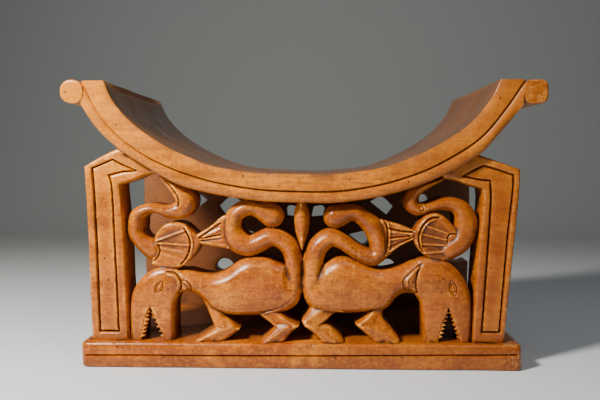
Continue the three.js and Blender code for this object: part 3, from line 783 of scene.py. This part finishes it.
def reliefMesh(plan, wood, front, back, v):  # both faces over the wood, joined by upright walls
    bend = np.zeros(wood.shape)
    bend[1:-1, 1:-1] = np.abs(front[2:, 1:-1] + front[:-2, 1:-1] + front[1:-1, 2:] + front[1:-1, :-2]
                              - 4 * front[1:-1, 1:-1])
    keep = ramp(bend / plan.step, *v["detailBends"])  # 1 where the front is carved finely
    for axis in (0, 1):
        keep = np.maximum(keep, np.maximum(np.roll(keep, 1, axis), np.roll(keep, -1, axis)))
    inside = wood > 0
    points = []

    def number(mask, x, z, f, b, k):
        table = np.full(mask.shape, -1)
        table[mask] = sum(len(p) for p in points) + np.arange(mask.sum())
        points.append(np.stack([x[mask], z[mask], f[mask], b[mask], k[mask]], 1))
        return table

    def crossing(first, second):  # where the wood's edge runs between two points, never right on one
        t = wood[first] / np.where(inside[first] != inside[second], wood[first] - wood[second], 1)
        t = np.clip(t, 0.04, 0.96)
        return [a[first] + (a[second] - a[first]) * t for a in (plan.x, plan.z, front, back, keep)]

    lowX, highX = (slice(0, -1), slice(None)), (slice(1, None), slice(None))
    lowZ, highZ = (slice(None), slice(0, -1)), (slice(None), slice(1, None))
    corner = number(inside, plan.x, plan.z, front, back, keep)
    alongX = number(inside[lowX] != inside[highX], *crossing(lowX, highX))
    alongZ = number(inside[lowZ] != inside[highZ], *crossing(lowZ, highZ))
    flat = np.concatenate(points)

    corners = [corner[:-1, :-1], corner[1:, :-1], corner[1:, 1:], corner[:-1, 1:]]
    edges = [alongX[:, :-1], alongZ[1:, :], alongX[:, 1:], alongZ[:-1, :]]
    held = [inside[:-1, :-1], inside[1:, :-1], inside[1:, 1:], inside[:-1, 1:]]
    case = sum(h.astype(int) << k for k, h in enumerate(held))
    faces, rims = [], []
    for c in range(1, 16):
        cells = case == c
        ring = []
        for k in range(4):
            here, there = c >> k & 1, c >> (k + 1) % 4 & 1
            if here:
                ring.append((corners[k][cells], 0))
            if here != there:
                ring.append((edges[k][cells], 1 if here else 2))  # 1 leaves the wood, 2 comes back
        faces += np.stack([r[0] for r in ring], 1).tolist()
        for a, b in zip(ring, ring[1:] + ring[:1]):
            if a[1] == 1 and b[1] == 2:
                rims.append(np.stack([a[0], b[0]], 1))
    rims = np.concatenate(rims)

    count, rows = len(flat), v["wallRows"]
    edge = np.unique(rims)
    levels = [np.arange(count)]
    place = [flat[:, [0, 2, 1]]]
    made = count
    for row in range(1, rows):
        t = row / rows
        level = np.full(count, -1)
        level[edge] = made + np.arange(len(edge))
        made += len(edge)
        ring = flat[edge]
        place.append(np.stack([ring[:, 0], ring[:, 2] * (1 - t) + ring[:, 3] * t, ring[:, 1]], 1))
        levels.append(level)
    levels.append(made + np.arange(count))
    place.append(flat[:, [0, 3, 1]])
    walls = [np.stack([a[rims[:, 1]], a[rims[:, 0]], b[rims[:, 0]], b[rims[:, 1]]], 1)
             for a, b in zip(levels, levels[1:])]
    backs = [[made + i for i in reversed(f)] for f in faces]
    place = np.concatenate(place)
    keep = np.append(flat[:, 4], np.zeros(len(place) - count))
    return place, faces + backs + np.concatenate(walls).tolist(), keep


# mesh helpers

def meshObject(name, points, faces):
    mesh = bpy.data.meshes.new(name)
    mesh.from_pydata((np.asarray(points) * mm).tolist(), [], faces)
    mesh.validate()
    mesh.update()
    return placed(name, mesh)


def baked(piece):  # the piece's modifiers made part of its mesh
    made = bpy.data.meshes.new_from_object(piece.evaluated_get(bpy.context.evaluated_depsgraph_get()))
    piece.modifiers.clear()
    old, piece.data = piece.data, made
    bpy.data.meshes.remove(old)
    return piece


def thinned(piece, triangles, keep=None):  # down to so many triangles, kept finest where keep is 1
    now = sum(len(p.vertices) - 2 for p in piece.data.polygons)
    if now <= triangles:
        return piece
    thin = piece.modifiers.new("thin", "DECIMATE")
    thin.ratio = triangles / now
    if keep is not None:
        group = piece.vertex_groups.new(name="plain")
        for share in range(5):
            group.add(np.flatnonzero(np.round(keep * 4) == share).tolist(), 1 - share / 4, "REPLACE")
        thin.vertex_group, thin.vertex_group_factor = group.name, panelValues["plainFirst"]
    baked(piece)
    piece.vertex_groups.clear()
    return piece


def readOut(items, field, width=1, kind=float):  # a row of numbers for each vertex, edge or corner
    values = np.empty(len(items) * width, kind)
    items.foreach_get(field, values)
    return values.reshape(-1, width)


def openEdges(mesh):
    uses = np.bincount(readOut(mesh.loops, "edge_index", kind=np.int32)[:, 0], minlength=len(mesh.edges))
    return int((uses != 2).sum())


def tell(stage, piece):
    print(stage, len(piece.data.polygons), "faces,", openEdges(piece.data), "open edges")


def joined(piece, *others):
    for other in others:
        union = piece.modifiers.new("union", "BOOLEAN")
        union.operation, union.solver, union.object = "UNION", "MANIFOLD", other
        before = len(piece.data.polygons)
        baked(piece)
        if len(piece.data.polygons) < before / 2 or openEdges(piece.data):
            print("this union needs a look:", other.name)
        bpy.data.objects.remove(other)
    return piece


# front and back panels

def flipped(points):  # the same points on the other side of the middle
    return [(-p[0], *p[1:]) for p in points]


def otherHalf(shapes, lines, rings):
    return (
        {kind: flipped(points) for kind, points in shapes.items()},
        {kind: [(flipped(path), *sizes) for path, *sizes in cuts] for kind, cuts in lines.items()},
        {kind: [dict(r, middle=flipped([r["middle"]])[0], turn=-r["turn"]) for r in some]
         for kind, some in rings.items()},
    )


def panelSkin(plan, v, wood, height, thickness):
    face = v["faceSetback"] - depth / 2
    back = face + thickness - v["innerFall"] * (1 - ramp(wood, 0, v["innerFallWidth"])) ** 2
    back += wavering(plan.x, plan.z, v["innerWaver"])
    return reliefMesh(plan, wood, face - height, back, v)


def makeFrontPanel(v):
    plan = Plan(v["low"], v["high"], v["frontStep"])
    sides = (leftShapes, leftLines, leftEyes), (rightShapes, rightLines, rightEyes)
    wood, height = carvePanel(plan, postShapes.values(), sides, v["seeds"][0])
    wood -= chips(plan.x, plan.z, v["postChips"]) * (plan.x > v["chippedFrom"])
    points, faces, keep = panelSkin(plan, v, wood, height, v["frontThickness"])
    return thinned(meshObject("frontPanel", points, faces), v["frontTriangles"], keep)


def makeBackPanel(v, ground, lost):  # worked out facing the front, then turned round in depth
    plan = Plan(v["low"], v["high"], v["backStep"])
    half = backShapes, backLines, backEyes
    otherPost = {part: flipped(points) for part, points in backPost.items()}
    wood, height = carvePanel(plan, (backPost, otherPost), (half, otherHalf(*half)), v["seeds"][1])
    sheet = plan.depth(curveThrough(ground["outline"]))
    for rim in ground["openings"]:
        for opening in (rim, flipped(rim)):
            sheet = np.minimum(sheet, -plan.depth(curveThrough(opening)))
    level = wavering(plan.x, plan.z, ground["waver"]) - ground["behindFace"]
    level -= ground["edgeFall"] * (1 - ramp(sheet, 0, ground["edgeWidth"])) ** 2
    wood, height = np.maximum(wood, sheet), np.where(sheet > -1, np.maximum(height, level), height)
    gone = np.minimum(np.minimum(plan.z - lost["low"], lost["high"] - plan.z), plan.x - lost["inner"])
    wood = np.minimum(wood, -(gone + wavering(plan.x, plan.z, lost["ragged"])))
    points, faces, _ = panelSkin(plan, v, wood, height, v["backThickness"])
    points[:, 1] *= -1
    return thinned(meshObject("backPanel", points, [f[::-1] for f in faces]), v["backTriangles"])


frontPanel = makeFrontPanel(panelValues)
tell("front panel", frontPanel)
backPanel = makeBackPanel(panelValues, groundValues, lostPost)
tell("back panel", backPanel)


# teeth along the jaws: a triangular prism on each point of a line

teethValues = {
    "rows": [  # ends of a row on the jaw's edge, teeth in it, and the way they point
        ((-186.5, 32), (-180, 60), 7, (1, -0.2)), ((-162.5, 32), (-173.5, 59), 6, (-1, -0.25)),
        ((159.5, 33), (166.5, 61), 7, (1, -0.2)), ((182.5, 32), (172.5, 61), 7, (-1, -0.2)),
    ],
    "half": 2.1,
    "reach": 4.4,
    "deep": 7,
    "face": -123.6,
    "sizes": (0.82, 1.12),
    "seed": 3,
}


def teethTree(sizes, material):
    tree = bpy.data.node_groups.new("teethAlongJaw", "GeometryNodeTree")
    tree.is_modifier = True
    kinds = {"First": "Vector", "Last": "Vector", "Count": "Int", "Half": "Float", "Reach": "Float",
             "Deep": "Float", "Turn": "Float", "Seed": "Int"}
    keys = {name: tree.interface.new_socket(name, in_out="INPUT", socket_type="NodeSocket" + kind).identifier
            for name, kind in kinds.items()}
    tree.interface.new_socket("Teeth", in_out="OUTPUT", socket_type="NodeSocketGeometry")
    s = Wiring(tree)
    given = s.node("NodeGroupInput").outputs
    line = {"Count": given["Count"], "Start Location": given["First"], "Offset": given["Last"]}
    line = s.node("GeometryNodeMeshLine", line, mode="END_POINTS")
    prism = s.node("GeometryNodeMeshCylinder", {"Vertices": 3, "Radius": 1, "Depth": 1})
    scale = s.node("CombineXYZ", {  # one corner points the way of X
        "X": s.times(given["Reach"], 1 / 1.5),
        "Y": s.times(given["Half"], 1 / math.sin(math.radians(60))),
        "Z": given["Deep"],
    })
    tooth = s.node("GeometryNodeTransform", {
        "Geometry": prism.outputs["Mesh"], "Rotation": (math.radians(90), 0, 0), "Scale": scale.outputs[0]})
    vary = s.node("FunctionNodeRandomValue", {"Seed": given["Seed"]})
    low, high = [i for i in vary.inputs if i.enabled and i.type == "VALUE"][:2]
    low.default_value, high.default_value = sizes
    spread = s.node("GeometryNodeInstanceOnPoints", {
        "Points": line.outputs["Mesh"],
        "Instance": tooth.outputs["Geometry"],
        "Rotation": s.node("CombineXYZ", {"Y": given["Turn"]}).outputs[0],
        "Scale": next(o for o in vary.outputs if o.enabled),
    })
    real = s.node("GeometryNodeRealizeInstances", {"Geometry": spread.outputs["Instances"]})
    finish = s.node("GeometryNodeSetMaterial", {"Geometry": real.outputs["Geometry"], "Material": material})
    s.node("NodeGroupOutput", {"Teeth": finish.outputs["Geometry"]})
    return tree, keys


def makeTeeth(v, material):
    tree, keys = teethTree(v["sizes"], material)
    rows = []
    for k, (first, last, count, way) in enumerate(v["rows"]):
        row = meshObject(f"teeth{k}", np.zeros((0, 3)), [])
        grow = row.modifiers.new("teeth", "NODES")
        grow.node_group = tree
        y = v["face"] + v["deep"] / 2
        values = {
            "First": tuple(c * mm for c in (first[0], y, first[1])),
            "Last": tuple(c * mm for c in (last[0], y, last[1])),
            "Count": count,
            "Half": v["half"] * mm,
            "Reach": v["reach"] * mm,
            "Deep": v["deep"] * mm,
            "Turn": math.atan2(-way[1], way[0]),
            "Seed": v["seed"] + k,
        }
        for name, value in values.items():
            grow[keys[name]] = value
        rows.append(baked(row))
    return rows


teeth = makeTeeth(teethValues, wood)
for row in teeth:
    tell("teeth", row)


# seat: a section carried along the curve, with band, groove and bead on both long sides

seatValues = {
    "top": [
        (-224, 326), (-212, 301), (-188, 275), (-155, 253), (-116, 235), (-88, 227), (-50, 222.5), (0, 221),
        (50, 222.5), (87, 227), (115, 236), (153, 254), (186, 276), (209, 302), (221, 326),
    ],
    "groove": [
        (-250, 326), (-233, 292), (-213, 267), (-189, 248), (-165, 234), (-121, 217), (-65, 205), (0, 200.5),
        (66, 204), (122, 218), (174, 243), (204, 265), (229, 296), (249, 326),
    ],
    "bead": [
        (-250, 299), (-234, 273), (-209, 249), (-172, 225), (-138, 207), (-92, 196), (-47, 190), (0, 188),
        (49, 189), (103, 198), (155, 217), (199, 242), (221, 265), (246, 297),
    ],
    "stations": 290,
    "length": 640,  # about the way along the top, which the nicks are spread over
    "grooveDeep": 3.6,
    "grooveHalf": 1.5,
    "edgeRound": 3,
    "edgeTurns": (0, 25, 50, 75),
    "edgeDrop": 0.6,  # how far down the edge's rounding reaches, for each millimetre in
    "bandPlaces": (0.35, 0.7),
    "beadTurns": (14, 34, 58, 84, 112, 142, 170),
    "beadDepth": 1.25,  # of the groove's depth
    "beadSetback": 0.15,
    "beadFoot": 1.5,
    "flatterWithin": 34,  # towards the rolls the bead's face grows flat
    "hollow": 1.6,
    "across": 16,
    "nicks": {"much": 1.1, "waves": (5, 17), "seed": 33, "above": 0.75},
    "nickWiden": 1.5,
    "wornFaces": {"much": 0.45, "waves": (40, 130), "seed": 31, "below": 0.3},
    "wornBeyond": 120,
    "waver": {"much": 0.35, "waves": (30, 120), "seed": 32},
    "waverWithin": 235,
}


def evenly(points, count):
    line = curveThrough(points, closed=False, spacing=1.5)
    run = np.concatenate([[0], np.cumsum(np.linalg.norm(np.diff(line, axis=0), axis=1))])
    at = np.linspace(0, run[-1], count)
    return np.stack([np.interp(at, run, line[:, k]) for k in range(2)], 1)


def loftMesh(rings, caps):  # rings of equal count, one face round each step, and a fan to each cap point
    n = rings.shape[1]
    points = np.concatenate([rings.reshape(-1, 3), caps])
    k = np.arange(n)
    faces = []
    for s in range(len(rings) - 1):
        a, b = s * n, (s + 1) * n
        faces += np.stack([a + k, a + (k + 1) % n, b + (k + 1) % n, b + k], 1).tolist()
    last, fan = (len(rings) - 1) * n, len(rings) * n
    faces += [[int(i), fan, int((i + 1) % n)] for i in k]
    faces += [[int(last + i), int(last + (i + 1) % n), fan + 1] for i in k]
    return points, faces


def rightWayOut(piece):  # faces outwards, judged by the volume's sign
    piece.data.calc_loop_triangles()
    place = readOut(piece.data.vertices, "co", 3)
    a, b, c = place[readOut(piece.data.loop_triangles, "vertices", 3, np.int32)].transpose(1, 0, 2)
    if (a * np.cross(b, c)).sum() < 0:
        piece.data.flip_normals()
    return piece


def seatProfile(v, t, m, b, nick, openness):  # down one face: place in x and z, and distance in from the face
    r, drop, deep, gap = v["edgeRound"], v["edgeRound"] * v["edgeDrop"], v["grooveDeep"], v["grooveHalf"]
    bandLong, beadLong = np.linalg.norm(m - t), np.linalg.norm(b - m)
    down, under = (m - t) / bandLong, (b - m) / beadLong
    profile = []
    for a in map(math.radians, v["edgeTurns"]):
        inwards = r * (1 - math.sin(a)) + nick * v["nickWiden"] * math.cos(a)
        profile.append((t + down * (drop * (1 - math.cos(a)) + nick), inwards))
    for share in v["bandPlaces"]:
        profile.append((t + down * (drop + (bandLong - drop - gap) * share), 0))
    profile += [(m - down * gap, 0.25), (m, deep)]
    for turn in v["beadTurns"]:
        a = math.radians(turn)
        inwards = deep * v["beadDepth"] * (1 - math.sin(a)) * (openness if turn > 90 else 1)
        profile.append((m + under * beadLong * (0.5 - 0.5 * math.cos(a)), inwards + v["beadSetback"]))
    profile.append((b, deep * v["beadFoot"] * openness + v["beadSetback"]))
    return profile, down


def makeSeat(v):
    top, groove, bead = (evenly(v[k], v["stations"]) for k in ("top", "groove", "bead"))
    half, count = depth / 2, v["across"]
    runs = np.linspace(0, v["length"], v["stations"])
    nicks = chips(runs, 0 * runs, v["nicks"])
    opens = ramp(np.minimum(runs, runs[::-1]), 0, v["flatterWithin"])
    rings = []
    for t, m, b, nick, openness in zip(top, groove, bead, nicks, opens):
        profile, down = seatProfile(v, t, m, b, nick, openness)
        edge, foot = half - v["edgeRound"], half - profile[-1][1]
        ring = [(t[0], y, t[1]) for y in np.linspace(edge, -edge, count)[:-1]]
        ring += [(p[0], -half + d, p[1]) for p, d in profile]
        ring += [(b[0], y, b[1]) for y in np.linspace(-foot, foot, count)[1:-1]]
        ring += [(p[0], half - d, p[1]) for p, d in reversed(profile[1:])]
        ring = np.array(ring)
        worn = np.clip(1 - (ring[:, 1] / half) ** 2, 0, 1)  # the top is a little hollow from front to back
        worn[count:] = 0
        ring[:, [0, 2]] += np.outer(worn * v["hollow"], down)
        rings.append(ring)
    rings = np.array(rings)
    x, y, z = rings[..., 0], rings[..., 1], rings[..., 2]
    rings[..., 1] += np.sign(y) * wornBack(x, z, v["wornFaces"]) * (np.abs(y) > v["wornBeyond"])
    rings[..., 2] += wavering(x, y, v["waver"]) * (np.abs(x) < v["waverWithin"])
    caps = np.array([[p[0], 0, p[1]] for p in (groove[0], groove[-1])])
    return rightWayOut(meshObject("seat", *loftMesh(rings, caps)))


seat = makeSeat(seatValues)
tell("seat", seat)

rollValues = {
    "left": {"middle": (-261, 314), "half": 13.3, "corner": 12, "towardBead": -22},
    "right": {"middle": (261, 312.5), "half": 13.3, "corner": 8, "towardBead": -158},
    "edgeRound": 2.6,
    "edgeTurns": (90, 66, 42, 20, 0),
    "endFace": (5, 0.8),  # rings on the flat end, so far inside its rounding
    "sideFrom": 12,
    "across": 16,
    "worn": {"much": 0.35, "waves": (40, 120), "seed": 51},
    "roundWaves": 20,  # a turn round the roll counts as so many millimetres for each radian
}


def roundedSquare(half, corner, perCorner=9):
    ring, straight = [], half - corner
    for sx, sz, start in ((1, 1, 0), (-1, 1, 90), (-1, -1, 180), (1, -1, 270)):
        for turn in np.linspace(start, start + 90, perCorner):
            a = math.radians(turn)
            ring.append((sx * straight + corner * math.cos(a), sz * straight + corner * math.sin(a)))
    return np.array(ring)


def makeRoll(side, v):  # its rim is rounded, but runs flush into the bead
    own, r, w = v[side], v["edgeRound"], v["worn"]
    half, square = depth / 2, roundedSquare(own["half"], own["corner"])
    way = square / np.linalg.norm(square, axis=1)[:, None]
    bead = math.radians(own["towardBead"])
    rounded = 1 - np.clip(way @ (math.cos(bead), math.sin(bead)) * 6 - 1, 0, 1)[:, None]
    ends = [(-half, r + inset) for inset in v["endFace"]]
    ends += [(-half + r * (1 - math.sin(a)), r * (1 - math.cos(a))) for a in np.radians(v["edgeTurns"])]
    middle = [(y, 0) for y in np.linspace(-half + v["sideFrom"], half - v["sideFrom"], v["across"])]
    made = []
    for y, inset in ends + middle + [(-y, inset) for y, inset in reversed(ends)]:
        ring = square - way * inset * (rounded if inset <= r else np.maximum(rounded, 0.25)) + own["middle"]
        made.append(np.stack([ring[:, 0], np.full(len(ring), y), ring[:, 1]], 1))
    made = np.array(made)
    turned = np.arctan2(made[..., 2] - own["middle"][1], made[..., 0] - own["middle"][0])
    worn = np.clip(1 + unevenness(made[..., 1], turned * v["roundWaves"], w["seed"], w["waves"]), 0, None)
    made[..., 0] -= np.cos(turned) * w["much"] * worn
    caps = np.array([[own["middle"][0], y, own["middle"][1]] for y in (-half, half)])
    return rightWayOut(meshObject(side + "Roll", *loftMesh(made, caps)))


leftRoll = makeRoll("left", rollValues)
rightRoll = makeRoll("right", rollValues)
tell("left roll", leftRoll)
tell("right roll", rightRoll)

# base: rounded corners, worn edges and one groove along the front and the back

baseValues = {
    "ends": (-256, 252),
    "top": 26,
    "corner": 7,
    "grooveAt": (10.8, 11.7, 15.2),  # left, middle and right
    "grooveDeep": 3.4,
    "grooveHalf": 1.5,
    "lowerEdge": [(0, 2.6), (0.8, 1), (2.6, 0)],  # height above the underside, and how far in
    "upperEdge": [(3.4, 0), (1.6, 0.7), (0.5, 1.9), (0, 3.6)],  # the same below the top
    "stepAlong": 4,
    "wornFaces": {"much": 0.5, "waves": (40, 140), "seed": 41, "below": 0.3},
    "chips": {"much": 0.9, "waves": (6, 22), "seed": 43, "above": 0.9},
    "chippedWithin": 5,
    "wornWithin": 6,
}


def baseOutline(v, half, deep):  # round from the front: a corner, then the straight side that follows it
    r, outline = v["corner"], []
    corners = (half, -deep), (half, deep), (-half, deep), (-half, -deep)
    for (x, y), start, run in zip(corners, (-90, 0, 90, 180), (deep, half, deep, half)):
        middle = np.array([x - math.copysign(r, x), y - math.copysign(r, y)])
        for t in np.radians(np.linspace(start, start + 90, 6)):
            outline.append(middle + r * np.array([math.cos(t), math.sin(t)]))
        way = np.array([-math.cos(math.radians(start)), -math.sin(math.radians(start))])
        steps = round(run / v["stepAlong"])
        outline += [outline[-1] + way * 2 * (run - r) / steps * k for k in range(1, steps)]
    return np.array(outline)


def makeBase(v):
    half, deep, low, top = (v["ends"][1] - v["ends"][0]) / 2, depth / 2, -drawnLevel, v["top"]
    outline = baseOutline(v, half, deep)
    onLong = np.abs(outline[:, 1]) > deep - 0.01
    nearSide = np.abs(outline) > np.array([half, deep]) - v["corner"] - 0.01
    grooveZ = np.interp(outline[:, 0], (-half, 0, half), v["grooveAt"])
    rings = []

    def addRing(ring, height):
        rings.append(np.stack([ring[:, 0], ring[:, 1], height], 1))

    def plainRings(edge):
        for height, inset in edge:
            drawnIn = np.sign(outline) * np.minimum(inset, np.abs(outline)) * nearSide
            addRing(outline - drawnIn, np.full(len(outline), height))

    plainRings([(low + up, inset) for up, inset in v["lowerEdge"]])
    for side, share in ((-1, 0), (0, 1), (1, 0)):  # the groove
        ring = outline.copy()
        ring[:, 1] -= np.sign(ring[:, 1]) * v["grooveDeep"] * share * onLong
        addRing(ring, grooveZ + side * v["grooveHalf"])
    plainRings([(top - down, inset) for down, inset in v["upperEdge"]])
    rings = np.array(rings)
    x, y, z = rings[..., 0], rings[..., 1], rings[..., 2]
    worn = wornBack(x + y, z * 3, v["wornFaces"])
    worn -= chips(x + y, z * 2, v["chips"]) * (z > top - v["chippedWithin"])
    rings[..., 1] += np.sign(y) * worn * (np.abs(y) > deep - v["wornWithin"])
    rings[..., 0] += np.sign(x) * worn * (np.abs(x) > half - v["wornWithin"])
    rings[..., 0] += (v["ends"][0] + v["ends"][1]) / 2
    return rightWayOut(meshObject("base", *loftMesh(rings, np.array([[0, 0, low], [0, 0, top]]))))


base = makeBase(baseValues)
tell("base", base)

stool = joined(seat, leftRoll, rightRoll, base, frontPanel, backPanel, *teeth)
stool.name = stool.data.name = "carvedStool"
tell("one piece", stool)


# what the wood reads off the surface: hollows and edges, the sat-on top, and the inside, which is not
# polished and carries painted shade

markValues = {
    "bendLimit": 0.6,
    "passes": (2, 6),  # how far the marks are spread for the fine relief and for the broad
    "relief": (2.4, 2.0),  # and what each counts for
    "topWithin": 4.5,
    "topHalf": 222,
    "topInset": 0.9,
    "facingUp": 0.25,
    "insideFrom": (26, 42),  # in from the faces
    "insideAbove": 25,
    "insideHalf": 246,
    "smoothBelow": 48,  # degrees
}


def surfaceMarks(piece, v):
    mesh = piece.data
    count = len(mesh.vertices)
    place = readOut(mesh.vertices, "co", 3) / mm
    normal = readOut(mesh.vertex_normals, "vector", 3)
    a, b = readOut(mesh.edges, "vertices", 2, np.int32).T
    way = place[b] - place[a]
    long = np.linalg.norm(way, axis=1) + 1e-6
    bend = ((normal[b] - normal[a]) * way).sum(1) / long**2  # above 0 where the surface stands proud

    def gather(fromA, fromB, weight):  # each vertex's mean over the edges that meet in it
        total = np.bincount(a, fromB * weight, count) + np.bincount(b, fromA * weight, count)
        return total / (np.bincount(a, weight, count) + np.bincount(b, weight, count) + 1e-9)

    def softened(value, times):
        for _ in range(times):
            value = 0.4 * value + 0.6 * gather(value[a], value[b], 1 / long)
        return value

    fine, broad = v["relief"]
    relief = softened(np.clip(gather(bend, bend, long), -v["bendLimit"], v["bendLimit"]), v["passes"][0])
    relief = np.clip(relief * fine + softened(relief, v["passes"][1]) * broad, -1, 1)
    x, y, z = place.T
    inFromFace, fromMiddle = depth / 2 - np.abs(y), np.abs(x)
    topCurve = curveThrough(seatValues["top"], closed=False)
    onTop = np.abs(z - np.interp(x, topCurve[:, 0], topCurve[:, 1])) < v["topWithin"]
    onTop &= (fromMiddle < v["topHalf"]) & (inFromFace > v["topInset"]) & (normal[:, 2] > v["facingUp"])
    inner = ramp(inFromFace, *v["insideFrom"])
    inner *= (z > v["insideAbove"]) & ~onTop & (fromMiddle < v["insideHalf"])
    marks = {"relief": relief, "seatTop": softened(onTop.astype(float), 2), "inner": inner}
    for name, value in marks.items():
        mesh.attributes.new(name, "FLOAT", "POINT").data.foreach_set("value", value.astype(np.float32))


stool.data.materials.clear()
stool.data.materials.append(wood)
stool.data.polygons.foreach_set("material_index", np.zeros(len(stool.data.polygons), np.int32))
stool.data.shade_smooth()
stool.data.set_sharp_from_angle(angle=math.radians(markValues["smoothBelow"]))
surfaceMarks(stool, markValues)
stool.data.transform(Matrix.Translation((0, 0, drawnLevel * mm)))

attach(stool, "root")
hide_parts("stool")

# floor and studio light

studioValues = {
    "floorColour": (0.57, 0.62, 0.68, 1),
    "shadedFarColour": (0.34, 0.37, 0.38, 1),
    "fades": (-0.1, 0.95),  # from the pale floor to the grey behind, painted shade on the far floor and wall, in metres back
    "floorRoughness": 0.9,
    "floorHalf": 4,
    "floorFront": -3,
    "bendAt": 1.2,  # behind the stool the floor bends up into a wall
    "bendRadius": 0.8,
    "wallTop": 3,
    "worldColour": (0.9, 0.94, 1, 1),
    "world": 0.085,
    "aim": (0, 0, 0.15),
    "lights": {  # place, size, power and colour
        "key": ((-0.64, -0.7, 0.84), 0.17, 32, (1, 0.92, 0.8)),
        "fill": ((0.25, -2.3, 0.7), 1.0, 2.4, (1, 0.97, 0.92)),
        "top": ((0.5, -0.5, 1.6), 0.8, 5.5, (1, 0.97, 0.92)),
    },
}


def makeFloor(v):
    mesh = bpy.data.meshes.new("floor")
    start, r = v["bendAt"], v["bendRadius"]
    curve = [(v["floorFront"], 0), (start, 0)]
    curve += [(start + r * math.sin(t), r - r * math.cos(t)) for t in np.linspace(0.1, 1.57, 12)]
    curve.append((start + r, v["wallTop"]))
    points = [(x, y, z) for y, z in curve for x in (-v["floorHalf"], v["floorHalf"])]
    mesh.from_pydata(points, [], [(k, k + 1, k + 3, k + 2) for k in range(0, 2 * len(curve) - 2, 2)])
    mesh.shade_smooth()
    material, s, shader = newMaterial("paleFloor")
    back = s.node("SeparateXYZ", {0: s.node("TexCoord").outputs["Object"]}).outputs[1]
    # painted shade: the floor and wall darker further back
    s.wire(shader["Base Color"], s.blend(s.span(back, *v["fades"]), v["floorColour"], v["shadedFarColour"]))
    s.wire(shader["Roughness"], v["floorRoughness"])
    mesh.materials.append(material)
    return placed("floor", mesh)


def makeLight(v):
    world = bpy.data.worlds.new("studio")
    world.use_nodes = True
    background = world.node_tree.nodes["Background"].inputs
    background["Color"].default_value = v["worldColour"]
    background["Strength"].default_value = v["world"]
    bpy.context.scene.world = world
    for name, (place, size, power, colour) in v["lights"].items():
        light = bpy.data.lights.new(name, "AREA")
        light.energy, light.size, light.color = power, size, colour
        lamp = placed(name, light)
        lamp.location = place
        lamp.rotation_euler = (Vector(v["aim"]) - Vector(place)).to_track_quat("-Z", "Y").to_euler()


floor = makeFloor(studioValues)
makeLight(studioValues)
print("floor and", len(studioValues["lights"]), "lights")
